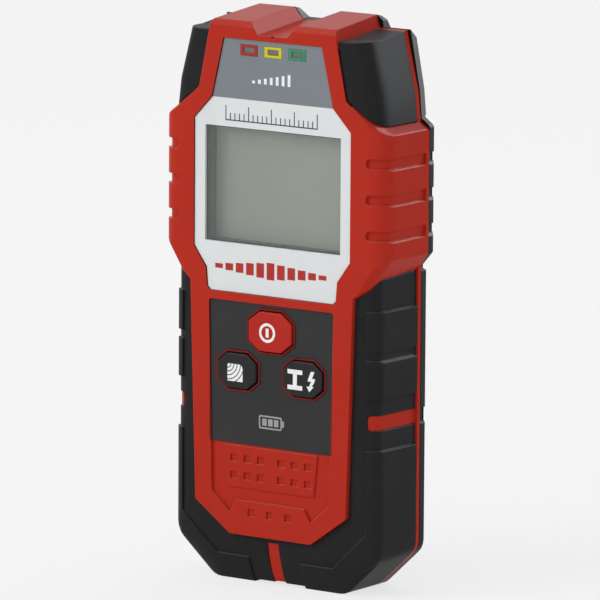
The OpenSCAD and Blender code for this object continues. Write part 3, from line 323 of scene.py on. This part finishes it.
def labelFinish(look):
    # white film with a grey printed field above one height
    material, tree, bsdf, place = newFinish("labelPrint")
    cloud = swing(tree, noise(tree, place, look["cloud"], cloudDetail), 0.0, 1.0)
    grain = noise(tree, place, look["grain"])
    field = calc(tree, "GREATER_THAN", axes(tree, place)[2], look["border"])
    pale = mixColour(tree, cloud, *look["white"])
    grey = mixColour(tree, cloud, *look["grey"])
    feed(tree, mixColour(tree, field, pale, grey), bsdf.inputs["Base Color"])
    feed(tree, swing(tree, grain, *look["rough"]), bsdf.inputs["Roughness"])
    relief(tree, bsdf, grain, look["depth"], look["strength"])
    fixed(bsdf, {"Specular IOR Level": look["gloss"]})
    return material


displayFilm = {
    "tone": (linear((138, 142, 133)), linear((150, 155, 145))), "edge": linear((120, 123, 115)),
    "low": (-0.0208, 0.0888), "high": (0.0208, 0.1180), "paintedShadeRamp": (0.25, 1.0),
    "grain": 5200.0, "grainShare": (-0.008, 0.008), "rough": (0.35, 0.38), "gloss": 0.3,
    "line": 0.0011, "lineHalf": 0.00012, "lineShare": 0.5,
}


def displayFinish(look):
    # reflective display: painted shade, lighter to the right; fine grain; a faint line round the active
    # area
    material, tree, bsdf, place = newFinish("displayFilm")
    x, _, z = axes(tree, place)
    # painted shade: darker at the left, lighter to the right
    across = spread(tree, x, look["low"][0], look["high"][0], *look["paintedShadeRamp"])
    grain = noise(tree, place, look["grain"])
    share = calc(tree, "ADD", across, swing(tree, grain, *look["grainShare"]))
    tone = mixColour(tree, share, *look["tone"])
    midX, midZ = ((a + b) / 2 for a, b in zip(look["low"], look["high"]))
    halfX, halfZ = ((b - a) / 2 for a, b in zip(look["low"], look["high"]))
    sideways = calc(tree, "SUBTRACT", halfX, gapFrom(tree, x, midX))
    upright = calc(tree, "SUBTRACT", halfZ, gapFrom(tree, z, midZ))
    inset = calc(tree, "MINIMUM", sideways, upright)
    onLine = calc(tree, "LESS_THAN", gapFrom(tree, inset, look["line"]), look["lineHalf"])
    drawn = calc(tree, "MULTIPLY", onLine, look["lineShare"])
    feed(tree, mixColour(tree, drawn, tone, look["edge"]), bsdf.inputs["Base Color"])
    feed(tree, swing(tree, grain, *look["rough"]), bsdf.inputs["Roughness"])
    fixed(bsdf, {"Specular IOR Level": look["gloss"]})
    return material


clearWindow = {
    "tint": (linear((196, 204, 200)), linear((214, 220, 216))), "haze": 90.0, "rough": (0.05, 0.09),
    "fixed": {"Alpha": 0.10, "Specular IOR Level": 0.5},
}


def windowFinish(look):
    # clear sheet: most light goes straight through, with a faint haze in its gloss
    material, tree, bsdf, place = newFinish("clearWindow")
    haze = noise(tree, place, look["haze"], cloudDetail)
    feed(tree, mixColour(tree, haze, *look["tint"]), bsdf.inputs["Base Color"])
    feed(tree, swing(tree, haze, *look["rough"]), bsdf.inputs["Roughness"])
    fixed(bsdf, look["fixed"])
    return material


smokyLens = {"ribs": 420.0, "waver": 0.4, "cloud": 700.0, "share": 0.5, "rough": (0.22, 0.32), "gloss": 0.4}


def lensFinish(name, tones, look):
    # smoky moulded lens with faint upright ribs
    material, tree, bsdf, place = newFinish(name)
    wave = waves(tree, place, uprightBands, look["ribs"], look["waver"]).outputs[1]
    cloud = noise(tree, place, look["cloud"])
    ribbed, mottled = (calc(tree, "MULTIPLY", part, look["share"]) for part in (wave, cloud))
    feed(tree, mixColour(tree, calc(tree, "ADD", ribbed, mottled), *tones), bsdf.inputs["Base Color"])
    feed(tree, swing(tree, cloud, *look["rough"]), bsdf.inputs["Roughness"])
    fixed(bsdf, {"Specular IOR Level": look["gloss"]})
    return material


# Finishes of the works inside
carbonPuck = {
    "dark": (0.010, 0.010, 0.010, 1.0), "light": (0.022, 0.022, 0.022, 1.0),
    "cloud": 400.0, "grain": 5000.0, "rough": (0.62, 0.75), "depth": 0.00003,
}
siliconeSheet = {
    "dark": linear((150, 151, 154)), "light": linear((170, 171, 174)), "cloud": 120.0, "grain": 2600.0,
    "rough": (0.50, 0.62), "depth": 0.00002, "fixed": {"Subsurface Weight": 0.05},
}
milkyDiffuser = {
    "dark": linear((224, 224, 218)), "light": linear((238, 238, 233)), "cloud": 150.0, "grain": 1500.0,
    "rough": (0.38, 0.50), "depth": 0.00002,
}
chipResin = {
    "dark": (0.010, 0.010, 0.011, 1.0), "light": (0.020, 0.020, 0.021, 1.0),
    "cloud": 300.0, "grain": 6000.0, "rough": (0.55, 0.68), "depth": 0.00002,
}
creamNylon = {
    "dark": linear((208, 202, 180)), "light": linear((222, 216, 196)), "cloud": 200.0, "grain": 3000.0,
    "rough": (0.42, 0.55), "depth": 0.00002,
}
tanCeramic = {
    "dark": linear((138, 116, 86)), "light": linear((172, 150, 118)), "cloud": 500.0, "grain": 5000.0,
    "rough": (0.35, 0.50), "depth": 0.00002,
}
leadCover = {"cloud": 300.0, "grain": 5200.0, "rough": (0.40, 0.52), "depth": 0.00001}
leadRed = {**leadCover, "dark": linear((150, 22, 22)), "light": linear((176, 30, 28))}
leadBlack = {**leadCover, "dark": (0.010, 0.010, 0.010, 1.0), "light": (0.020, 0.020, 0.020, 1.0)}
bulb = {"cloud": 500.0, "grain": 4000.0, "rough": (0.2, 0.3), "depth": 0.00001}
bulbRed = {**bulb, "dark": linear((170, 40, 38)), "light": linear((196, 60, 56))}
bulbYellow = {**bulb, "dark": linear((196, 180, 50)), "light": linear((214, 200, 80))}
bulbGreen = {**bulb, "dark": linear((52, 128, 92)), "light": linear((76, 150, 112))}

stripedElastomer = {
    "layers": 320.0, "waver": 0.2, "tones": (linear((60, 50, 54)), linear((186, 150, 160))),
    "rough": (0.45, 0.6),
}


def stripedFinish(look):
    # thin conducting layers across a soft strip
    material, tree, bsdf, place = newFinish("stripedElastomer")
    wave = waves(tree, place, uprightBands, look["layers"], look["waver"]).outputs[1]
    feed(tree, mixColour(tree, wave, *look["tones"]), bsdf.inputs["Base Color"])
    feed(tree, spread(tree, wave, 0.0, 1.0, *look["rough"]), bsdf.inputs["Roughness"])
    return material


solderMask = {
    "turn": 90.0, "grid": 220.0, "gap": 0.035, "offset": 0.5, "squash": 1.0,
    "Color1": linear((24, 92, 48)), "Color2": linear((28, 102, 54)), "Mortar": linear((48, 132, 76)),
    "cloud": 260.0, "shade": linear((16, 70, 36)), "shadeMost": 0.35,
    "rough": (0.28, 0.4), "depth": 0.00002, "strength": 0.4,
}


def boardFinish(look):
    # green mask over copper tracks: a running grid gives the tracks, its gaps show lighter
    material, tree, bsdf, place = newFinish("solderMask")
    turned = addNode(tree, "Mapping", Rotation=(math.radians(look["turn"]), 0.0, 0.0))
    tree.links.new(place, turned.inputs["Vector"])
    brick = addNode(tree, "TexBrick", {k: look[k] for k in ("offset", "squash")}, Scale=look["grid"])
    brick.inputs["Mortar Size"].default_value = look["gap"]
    for name in ("Color1", "Color2", "Mortar"):
        brick.inputs[name].default_value = look[name]
    tree.links.new(turned.outputs[0], brick.inputs["Vector"])
    cloud = noise(tree, place, look["cloud"])
    shaded = swing(tree, cloud, 0.0, look["shadeMost"])
    feed(tree, mixColour(tree, shaded, brick.outputs[0], look["shade"]), bsdf.inputs["Base Color"])
    feed(tree, swing(tree, cloud, *look["rough"]), bsdf.inputs["Roughness"])
    relief(tree, bsdf, brick.outputs[1], look["depth"], look["strength"])
    return material


copperWire = {
    "centre": (0.0, 0.10265), "pitch": 0.00042, "tones": (linear((142, 74, 38)), linear((214, 134, 84))),
    "rough": (0.42, 0.28), "depth": 0.00008, "strength": 0.5,
}


def copperFinish(look):
    # enamelled wire: height and tone run in rings round the coil's middle and in layers along its depth
    material, tree, bsdf, place = newFinish("copperWire")
    x, y, z = axes(tree, place)
    dx = calc(tree, "SUBTRACT", x, look["centre"][0])
    dz = calc(tree, "SUBTRACT", z, look["centre"][1])
    squares = (calc(tree, "POWER", side, 2.0) for side in (dx, dz))
    radius = calc(tree, "SQRT", calc(tree, "ADD", *squares))
    perTurn = 2 * math.pi / look["pitch"]
    turns, layers = (calc(tree, "SINE", calc(tree, "MULTIPLY", run, perTurn)) for run in (radius, y))
    wound = spread(tree, calc(tree, "ADD", turns, layers), -2.0, 2.0, 0.0, 1.0)  # two sines added
    feed(tree, mixColour(tree, wound, *look["tones"]), bsdf.inputs["Base Color"])
    feed(tree, spread(tree, wound, 0.0, 1.0, *look["rough"]), bsdf.inputs["Roughness"])
    relief(tree, bsdf, wound, look["depth"], look["strength"])
    fixed(bsdf, {"Metallic": 1.0})
    return material


batteryJacket = {
    "band": -0.0125, "dark": linear((34, 37, 52)), "light": linear((52, 56, 76)), "lightMost": 0.3,
    "pale": linear((168, 170, 176)), "cloud": 90.0, "grain": 1800.0, "rough": (0.3, 0.42),
    "depth": 0.00001, "strength": 0.3, "metal": 0.55,
}


def jacketFinish(look):
    # printed steel jacket: dark body, pale band at the terminal end, fine print grain
    material, tree, bsdf, place = newFinish("batteryJacket")
    band = calc(tree, "LESS_THAN", axes(tree, place)[0], look["band"])
    cloud = noise(tree, place, look["cloud"], cloudDetail)
    body = mixColour(tree, swing(tree, cloud, 0.0, look["lightMost"]), look["dark"], look["light"])
    feed(tree, mixColour(tree, band, body, look["pale"]), bsdf.inputs["Base Color"])
    feed(tree, swing(tree, cloud, *look["rough"]), bsdf.inputs["Roughness"])
    relief(tree, bsdf, noise(tree, place, look["grain"]), look["depth"], look["strength"])
    fixed(bsdf, {"Metallic": look["metal"]})
    return material


platedSteel = {
    "marks": 700.0, "waver": 6.0, "fine": 3.0, "spots": 500.0,
    "tones": (linear((150, 150, 154)), linear((196, 197, 200))), "rough": (0.24, 0.42),
    "depth": 0.00001, "strength": 0.25,
}


def steelFinish(look):
    # plated steel with turning marks and dull spots
    material, tree, bsdf, place = newFinish("platedSteel")
    rings = {"wave_type": "RINGS", "rings_direction": "Y"}
    marks = waves(tree, place, rings, look["marks"], look["waver"])
    marks.inputs["Detail Scale"].default_value = look["fine"]
    spots = noise(tree, place, look["spots"], cloudDetail)
    feed(tree, mixColour(tree, spots, *look["tones"]), bsdf.inputs["Base Color"])
    feed(tree, swing(tree, spots, *look["rough"]), bsdf.inputs["Roughness"])
    relief(tree, bsdf, marks.outputs[1], look["depth"], look["strength"])
    fixed(bsdf, {"Metallic": 1.0})
    return material


finishOf = {
    "red_plastic": grained("redPlastic", redPlastic), "black_rubber": grained("blackRubber", blackRubber),
    "black_plastic": grained("blackPlastic", blackPlastic), "label": labelFinish(labelPrint),
    "clear_window": windowFinish(clearWindow), "light_red": grained("bulbRed", bulbRed),
    "light_yellow": grained("bulbYellow", bulbYellow), "light_green": grained("bulbGreen", bulbGreen),
    "key_panel": grained("keyPanel", keyPanel), "key_red": grained("keyRed", keyRed),
    "key_black": grained("keyBlack", keyBlack), "carbon": grained("carbonPuck", carbonPuck),
    "silicone": grained("siliconeSheet", siliconeSheet), "dark_frame": grained("darkFrame", darkFrame),
    "display": displayFinish(displayFilm), "diffuser": grained("milkyDiffuser", milkyDiffuser),
    "elastomer": stripedFinish(stripedElastomer), "board": boardFinish(solderMask),
    "chip": grained("chipResin", chipResin), "component": grained("tanCeramic", tanCeramic),
    "cream_plastic": grained("creamNylon", creamNylon), "copper": copperFinish(copperWire),
    "battery_jacket": jacketFinish(batteryJacket), "steel": steelFinish(platedSteel),
    "lead_red": grained("leadRed", leadRed), "lead_black": grained("leadBlack", leadBlack),
}
print("finishes:", len(finishOf))


# CAD nodes: merged, flat faces joined, edges rounded and shaded by angle, all as modifiers
def geometryGroup(name):
    tree = bpy.data.node_groups.new(name, "GeometryNodeTree")
    for way in ("INPUT", "OUTPUT"):
        tree.interface.new_socket("Geometry", in_out=way, socket_type="NodeSocketGeometry")
    return tree, tree.nodes.new("NodeGroupInput"), tree.nodes.new("NodeGroupOutput")


def plainNormals():
    tree, start, end = geometryGroup("plainNormals")
    drop = tree.nodes.new("GeometryNodeRemoveAttribute")
    drop.inputs["Name"].default_value = "custom_normal"
    tree.links.new(start.outputs[0], drop.inputs[0])
    tree.links.new(drop.outputs[0], end.inputs[0])
    return tree


def smoothByAngle(limit):
    tree, start, end = geometryGroup("smoothByAngle")
    last = start.outputs[0]
    angle = tree.nodes.new("GeometryNodeInputMeshEdgeAngle")
    sharp = tree.nodes.new("FunctionNodeCompare")
    sharp.operation = "GREATER_THAN"
    sharp.inputs[1].default_value = math.radians(limit)
    tree.links.new(angle.outputs[0], sharp.inputs[0])
    passes = (("FACE", True, None), ("EDGE", True, None), ("EDGE", False, sharp.outputs[0]))
    for domain, smooth, chosen in passes:
        step = tree.nodes.new("GeometryNodeSetShadeSmooth")
        step.domain = domain
        step.inputs["Shade Smooth"].default_value = smooth
        if chosen:
            tree.links.new(chosen, step.inputs["Selection"])
        tree.links.new(last, step.inputs[0])
        last = step.outputs[0]
    tree.links.new(last, end.inputs[0])
    return tree


nodeShade = {"mergeWithin": 0.02, "flatWithin": 0.6, "bevelAbove": 32.0, "smoothBelow": 21.0, "segments": 2}
usualEdge = 0.12
edgeOf = {
    "front_shell": 0, "rear_shell": 0, "upper_grip_left": 0, "upper_grip_right": 0, "lower_grip": 0,
    "label_panel": 0.1, "keypad_overlay": 0.08, "display_window": 0.06, "power_button": 0.4,
    "stud_button": 0.35, "metal_button": 0.35, "battery_door": 0, "battery": 0.4, "main_board": 0.08,
    "sensor_plates": 0.04, "controller_chip": 0.04, "contact_plates": 0.05, "housing_screws": 0.1,
    "board_screws": 0.08,
}
looseNormals, angleShade = plainNormals(), smoothByAngle(nodeShade["smoothBelow"])


def roundEdges(item, width, above, segments):
    bevel = item.modifiers.new("edges", "BEVEL")
    bevel.limit_method = "ANGLE"
    bevel.angle_limit = math.radians(above)
    bevel.width = width * mm
    bevel.segments = segments
    return bevel


def dressNode(node, slot):
    item = frame["nodes"][node]
    item.material_slots[0].material = finishOf[slot]
    item.modifiers.new("plainNormals", "NODES").node_group = looseNormals
    weld = item.modifiers.new("merge", "WELD")
    weld.merge_threshold = nodeShade["mergeWithin"] * mm
    flat = item.modifiers.new("flatFaces", "DECIMATE")
    flat.decimate_type = "DISSOLVE"
    flat.angle_limit = math.radians(nodeShade["flatWithin"])
    width = edgeOf.get(node, usualEdge)
    if width:
        bevel = roundEdges(item, width, nodeShade["bevelAbove"], nodeShade["segments"])
        bevel.use_clamp_overlap = False
    item.modifiers.new("smoothByAngle", "NODES").node_group = angleShade
    weigh = item.modifiers.new("weighted", "WEIGHTED_NORMAL")
    weigh.keep_sharp = True


for part in frame["record"]["subparts"]:
    dressNode(part["node"], part["material_slot"])
print("nodes dressed")


# New pieces: each is a plan of (x, z) points on a grid, given a front and a back
def gridFaces(rows, columns, closedRows):
    # quads between neighbours; the columns always close on themselves
    i = np.arange(rows if closedRows else rows - 1)[:, None]
    j = np.arange(columns)[None, :]
    here, above = i * columns, (i + 1) % rows * columns
    after = (j + 1) % columns
    return np.stack([here + j, above + j, above + after, here + after], -1).reshape(-1, 4)


def slab(plan, back, front, closed=False):
    # each row of the plan becomes a loop: along the front, then home along the back; open ends get a cap
    plan = np.asarray(plan, float)
    rows, across = plan.shape[:2]
    depth = np.broadcast_to(np.asarray(front, float), (rows, across))
    near = np.stack([plan[..., 0], depth, plan[..., 1]], -1)
    far = np.stack([plan[..., 0], np.full((rows, across), float(back)), plan[..., 1]], -1)[:, ::-1]
    points = np.concatenate([near, far], 1).reshape(-1, 3)
    quads = gridFaces(rows, 2 * across, closed)
    corner = points[quads]
    turn = np.cross(corner[:, 1] - corner[:, 0], corner[:, 2] - corner[:, 0])
    turn += np.cross(corner[:, 2] - corner[:, 0], corner[:, 3] - corner[:, 0])
    volume = np.sum((corner.mean(1) - points.mean(0)) * turn)
    faces = quads.tolist()
    if not closed:
        ring = np.arange(2 * across)
        faces += [ring[::-1].tolist(), (ring + (rows - 1) * 2 * across).tolist()]
    if volume < 0:
        faces = [face[::-1] for face in faces]
    return points, faces


def joined(shapes):
    # several closed shapes in one mesh
    starts = np.cumsum([0] + [len(points) for points, faces in shapes])
    points = np.concatenate([points for points, faces in shapes])
    faces = [[int(v + start) for v in face] for (_, group), start in zip(shapes, starts) for face in group]
    return points, faces


pieceEdge = {"above": 40.0, "segments": 2}


def addPiece(name, shape, finish, body, edge=0.0):
    mesh = bpy.data.meshes.new(name)
    mesh.from_pydata((shape[0] * mm).tolist(), [], shape[1])
    mesh.update()
    mesh.materials.append(finish)
    piece = bpy.data.objects.new(name, mesh)
    bpy.context.scene.collection.objects.link(piece)
    if edge:
        roundEdges(piece, edge, pieceEdge["above"], pieceEdge["segments"])
    piece.modifiers.new("smoothByAngle", "NODES").node_group = angleShade
    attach(piece, body)
    return piece


def strip(stations):
    # rows of (height, left, right) give a plan whose width changes up its height
    table = np.asarray(stations, float)
    return np.stack([table[:, [1, 2]], table[:, [0, 0]]], -1)


def block(x, half, low, high):
    return strip([(low, x - half, x + half), (high, x - half, x + half)])


def roundedLoop(halfX, halfZ, radius, count=6):
    # four quarter turns about the corner centres, each of some points
    turn = np.linspace(0, math.pi / 2, count)
    angle = (turn[None, :] + np.arange(4)[:, None] * math.pi / 2).ravel()
    side = np.repeat(np.array([[1, 1], [-1, 1], [-1, -1], [1, -1]], float), count, 0)
    inner = np.array([halfX - radius, halfZ - radius])
    return side * inner + radius * np.stack([np.cos(angle), np.sin(angle)], -1)


def ringPlan(outer, inner, centre):
    # two loops of equal count, carried round together
    return np.stack([outer, inner], 1) + np.asarray(centre, float)


# How far a printed sign stands above its surface and reaches below it
inkAbove, inkBelow = 0.03, 0.08
whitePrint, darkPrint = grained("whiteInk", whiteInk), grained("darkInk", darkInk)
redPrint, greyPrint = grained("redInk", redInk), grained("greyInk", greyInk)


def printed(plan, surface, closed=False):
    return slab(plan, surface + inkBelow, surface - inkAbove, closed)


def topOf(node):
    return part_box(node)[0].y / mm


keyTop, sideTop = topOf("power_button"), topOf("stud_button")
labelTop, panelTop = topOf("label_panel"), topOf("keypad_overlay")

powerSign = {"centre": (-0.75, 66.4), "radius": 2.52, "stroke": 0.72, "bar": (0.46, 1.15), "steps": 64}


def makePowerSign(look):
    # a ring and an upright bar
    turn = np.linspace(0, 2 * math.pi, look["steps"], endpoint=False)
    circle = np.stack([np.cos(turn), np.sin(turn)], -1)
    ring = ringPlan(circle * look["radius"], circle * (look["radius"] - look["stroke"]), look["centre"])
    x, z = look["centre"]
    halfX, halfZ = look["bar"]
    bar = block(x, halfX, z - halfZ, z + halfZ)
    shape = joined([printed(ring, keyTop, True), printed(bar, keyTop)])
    addPiece("powerSign", shape, whitePrint, "power_key")


studSign = {
    "corner": (-13.2, 57.3), "size": (4.8, 4.5), "round": 1.2, "steps": 16, "across": 9, "angles": 1441,
    "rings": ((0.25, 0.95), (1.2, 1.9), (2.15, 2.9), (3.15, 3.95), (4.2, 5.0), (5.25, 6.55)),
}


def makeStudSign(look):
    # growth rings about the block's upper left corner, cut off by its sides and its round corner
    wide, high = look["size"]
    bend = look["round"]
    x, z = look["corner"]
    along = np.linspace(0, 1, look["steps"])[:, None]
    turn = np.linspace(0, math.pi / 2, look["angles"])[:, None]
    shapes = []
    for inner, outer in look["rings"]:
        radius = np.linspace(inner, outer, look["across"])[None, :]
        right, down = radius * np.cos(turn), radius * np.sin(turn)
        past = (right > wide - bend) & (down < bend) & (np.hypot(right - wide + bend, down - bend) > bend)
        inside = (right <= wide) & (down <= high) & ~past
        first = turn[np.argmax(inside, 0), 0]
        last = turn[len(turn) - 1 - np.argmax(inside[::-1], 0), 0]
        angle = first + along * np.maximum(last - first, 0)
        plan = np.stack([x + radius * np.cos(angle), z - radius * np.sin(angle)], -1)
        shapes.append(printed(plan, sideTop))
    addPiece("studSign", joined(shapes), whitePrint, "stud_key")


# The bolt's rows give a share of its height, then its left and right sides
metalSign = {
    "beam": (8.05, 55.25), "beamSize": (2.3, 2.6), "flange": 1.15, "web": 0.62,
    "bolt": (13.0, 55.2), "boltHeight": 2.65,
    "boltRows": ((1.0, 0.05, 1.15), (0.32, -0.75, 0.4), (0.32, -0.75, 1.35), (0.02, -1.0, 1.15),
                 (0.02, 0.1, 1.15), (-0.48, -0.5, 0.35), (-0.48, -1.3, 0.95), (-1.0, -0.5, -0.44)),
}


def makeMetalSign(look):
    # an I section, and a bolt drawn as slanted strips that ends in an arrow head
    x, z = look["beam"]
    halfX, halfZ = look["beamSize"]
    level, web = halfZ - look["flange"], look["web"]
    rows = [(-halfZ, halfX), (-level, halfX), (-level, web), (level, web), (level, halfX), (halfZ, halfX)]
    beam = strip([(z + up, x - half, x + half) for up, half in rows])
    bx, bz = look["bolt"]
    height = look["boltHeight"]
    bolt = strip([(bz + up * height, bx + left, bx + right) for up, left, right in look["boltRows"]])
    shape = joined([printed(beam, sideTop), printed(bolt, sideTop)])
    addPiece("metalSign", shape, whitePrint, "metal_key")


makePowerSign(powerSign)
makeStudSign(studSign)
makeMetalSign(metalSign)
print("key signs made")

ledTones = {
    "red": {"frame": (linear((158, 40, 42)), linear((170, 46, 46))),
            "lens": (linear((98, 92, 90)), linear((120, 112, 110)))},
    "yellow": {"frame": (linear((203, 194, 28)), linear((216, 206, 36))),
               "lens": (linear((100, 98, 96)), linear((118, 116, 114)))},
    "green": {"frame": (linear((54, 134, 98)), linear((64, 146, 108))),
              "lens": (linear((86, 104, 94)), linear((102, 120, 110)))},
}
ledWindow = {
    "border": (0.98, 0.66), "corner": 0.18, "proud": 0.06, "edge": 0.07,
    "lensLap": 0.05, "lensSunk": 0.22, "crown": 0.14, "flatness": 4, "grid": 13,
}


def makeLedWindow(colour, look):
    # a raised border carried round a rounded rectangle, and a crowned lens sunk inside it
    node, slot = "led_window_" + colour, "light_" + colour
    rimName, lensName = "ledBorder_" + colour, "ledLens_" + colour
    low, high = (np.array(corner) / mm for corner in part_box(node))
    centre, half = (low + high)[[0, 2]] / 2, (high - low)[[0, 2]] / 2
    inner = half - np.array(look["border"])
    outerLoop, innerLoop = roundedLoop(*half, look["corner"]), roundedLoop(*inner, look["corner"] / 2)
    border = slab(ringPlan(outerLoop, innerLoop, centre), high[1], low[1] - look["proud"], True)
    dark, light = ledTones[colour]["frame"]
    rimFinish = grained(rimName, {**frameInk, "dark": dark, "light": light})
    rim = addPiece(rimName, border, rimFinish, "case", look["edge"])
    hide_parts(node)
    u = np.linspace(-1, 1, look["grid"])
    across, up = np.meshgrid(u, u)
    reach = inner + look["lensLap"]
    plan = np.stack([centre[0] + across * reach[0], centre[1] + up * reach[1]], -1)
    dome = (1 - across ** look["flatness"]) * (1 - up ** look["flatness"])
    lens = slab(plan, high[1], low[1] + look["lensSunk"] - look["crown"] * dome)
    addPiece(lensName, lens, lensFinish(lensName, ledTones[colour]["lens"], smokyLens), "case")


for colour in ledTones:
    makeLedWindow(colour, ledWindow)
print("light windows made")


def rowSteps(count):
    # whole steps about the middle of a row
    return np.arange(count) - (count - 1) / 2


def addMark(name, plans, surface, finish, outlines=()):
    shapes = [printed(plan, surface, True) for plan in outlines]
    shapes += [printed(plan, surface) for plan in plans]
    addPiece(name, joined(shapes), finish, "case")


signalMark = {"middle": -0.5, "foot": 130.2, "count": 7, "pitch": 1.85, "half": 0.42, "height": (0.7, 3.0)}


def makeSignalMark(look):
    # white bars that rise evenly from left to right
    place = look["middle"] + rowSteps(look["count"]) * look["pitch"]
    height = np.linspace(*look["height"], look["count"])
    foot = look["foot"]
    plans = [block(x, look["half"], foot, foot + h) for x, h in zip(place, height)]
    addMark("signalMark", plans, labelTop, whitePrint)


scaleMark = {
    "middle": -0.4, "foot": 120.3, "count": 21, "pitch": 1.43, "half": 0.14, "short": 1.7, "long": 3.6,
    "every": 5, "base": 0.3,
}


def makeScaleMark(look):
    # a ruled scale: thin ticks, every fifth one long, on a thin base line
    step = rowSteps(look["count"])
    height = np.where(step % look["every"] == 0, look["long"], look["short"])
    middle, foot, half = look["middle"], look["foot"], look["half"]
    plans = [block(middle + s * look["pitch"], half, foot, foot + h) for s, h in zip(step, height)]
    plans.append(block(middle, step[-1] * look["pitch"] + half, foot - look["base"], foot))
    addMark("scaleMark", plans, labelTop, darkPrint)


levelMark = {"middle": -0.4, "level": 82.2, "count": 11, "pitch": 3.25, "half": 1.2, "height": (1.2, 4.4)}


def makeLevelMark(look):
    # red blocks that grow evenly towards the middle
    step = rowSteps(look["count"])
    height = np.interp(np.abs(step), [0, step[-1]], look["height"][::-1])
    middle, level = look["middle"], look["level"]
    plans = [block(middle + s * look["pitch"], look["half"], level - h / 2, level + h / 2)
             for s, h in zip(step, height)]
    addMark("levelMark", plans, labelTop, redPrint)


cellMark = {
    "centre": (-0.2, 43.0), "half": (3.6, 1.75), "corner": 0.5, "stroke": 0.42, "cells": 3,
    "studAway": 0.9, "studHalf": 0.8, "studRise": 0.45,
}


def makeCellMark(look):
    # a battery sign: outline, end stud and filled cells
    x, z = look["centre"]
    halfX, halfZ = look["half"]
    stroke, corner = look["stroke"], look["corner"]
    innerLoop = roundedLoop(halfX - stroke, halfZ - stroke, corner - stroke / 2)
    outline = ringPlan(roundedLoop(halfX, halfZ, corner), innerLoop, look["centre"])
    inside = halfX - 2 * stroke
    pitch = 2 * inside / look["cells"]
    middle = x - inside + pitch * (np.arange(look["cells"]) + 0.5)
    cellHalf, cellRise = pitch / 2 - stroke / 2, halfZ - 2 * stroke
    plans = [block(m, cellHalf, z - cellRise, z + cellRise) for m in middle]
    studRise = halfZ * look["studRise"]
    studX = x + halfX + stroke * look["studAway"]
    plans.append(block(studX, stroke * look["studHalf"], z - studRise, z + studRise))
    addMark("cellMark", plans, panelTop, greyPrint, [outline])


makeSignalMark(signalMark)
makeScaleMark(scaleMark)
makeLevelMark(levelMark)
makeCellMark(cellMark)
print("label marks made")

# Studio: pale floor, air that darkens towards the zenith, two soft boxes and three that only show in gloss
studio = {
    "floorHalf": 6.0, "floorDrop": 0.0001, "floorVeil": 0.72, "floorCloud": 6.0,
    "floorTones": ((0.93, 0.93, 0.93, 1.0), (0.95, 0.95, 0.95, 1.0)),
    "floorFixed": {"Roughness": 0.9, "Specular IOR Level": 0.1},
    "airLevel": (1.14, 0.18), "aim": (0.0, 0.0, 0.08),
    "boxes": (
        {"name": "keyBox", "at": (-1.0, -1.5, 1.3), "size": 1.2, "power": 14.4},
        {"name": "topBox", "at": (-0.2, 0.9, 1.5), "size": 0.9, "power": 2.5},
        {"name": "rimBox", "at": (0.53, 1.31, 1.29), "size": 1.0, "power": 40.0, "glossOnly": True},
        {"name": "sideBox", "at": (1.04, 1.46, 0.55), "size": 0.8, "power": 28.0, "tone": (0.90, 0.94, 1.0),
         "glossOnly": True, "lights": ("upper_grip_right", "lower_grip", "rear_shell")},
        {"name": "edgeBox", "at": (-0.4, -0.25, 1.35), "size": 0.8, "power": 25.0, "glossOnly": True},
    ),
}


def seenRays(tree):
    # 1 for what the camera sees straight, mirrored or through a clear sheet
    path = addNode(tree, "LightPath").outputs
    mirrored = calc(tree, "MAXIMUM", path["Is Glossy Ray"], path["Is Transmission Ray"])
    return calc(tree, "MAXIMUM", path["Is Camera Ray"], mirrored)


def makeFloor(look):
    corners = np.array([[-1, -1], [1, -1], [1, 1], [-1, 1]], float) * look["floorHalf"]
    points = np.column_stack([corners, np.full(4, -look["floorDrop"])])
    mesh = bpy.data.meshes.new("floor")
    mesh.from_pydata(points.tolist(), [], [(0, 1, 2, 3)])
    floor = bpy.data.objects.new("floor", mesh)
    bpy.context.scene.collection.objects.link(floor)
    material, tree, bsdf, place = newFinish("paleFloor")
    tone = swing(tree, noise(tree, place, look["floorCloud"]), 0.0, 1.0)
    feed(tree, mixColour(tree, tone, *look["floorTones"]), bsdf.inputs["Base Color"])
    fixed(bsdf, look["floorFixed"])
    glow = addNode(tree, "Emission", Color=white, Strength=1.0)
    veil = calc(tree, "MULTIPLY", seenRays(tree), look["floorVeil"])
    mixShaders(tree, veil, bsdf, glow, "Material Output")
    mesh.materials.append(material)


def makeAir(look):
    # what lights the object falls off towards the zenith, what is seen or mirrored is white
    world = bpy.data.worlds.new("air")
    world.use_nodes = True
    bpy.context.scene.world = world
    tree = world.node_tree
    level = tree.nodes["Background"]
    level.inputs["Color"].default_value = white
    height = axes(tree, addNode(tree, "TexCoord").outputs["Generated"])[2]
    feed(tree, spread(tree, height, 0.0, 1.0, *look["airLevel"]), level.inputs["Strength"])
    plain = addNode(tree, "Background", Color=white, Strength=1.0)
    mixShaders(tree, seenRays(tree), level, plain, "World Output")


def makeSoftBox(box, aim):
    lamp = bpy.data.lights.new(box["name"], "AREA")
    lamp.energy = box["power"]
    lamp.size = box["size"]
    lamp.color = box.get("tone", white[:3])
    item = bpy.data.objects.new(box["name"], lamp)
    bpy.context.scene.collection.objects.link(item)
    item.location = box["at"]
    item.visible_camera = False
    item.visible_diffuse = not box.get("glossOnly", False)
    item.rotation_mode = "QUATERNION"
    item.rotation_quaternion = (Vector(aim) - Vector(box["at"])).to_track_quat("-Z", "Y")
    if "lights" in box:  # this box lights these nodes alone
        group = bpy.data.collections.new(box["name"])
        for node in box["lights"]:
            group.objects.link(frame["nodes"][node])
        item.light_linking.receiver_collection = group


makeFloor(studio)
makeAir(studio)
for softBox in studio["boxes"]:
    makeSoftBox(softBox, studio["aim"])
bpy.context.scene.view_settings.view_transform = "Standard"
print("studio lit")
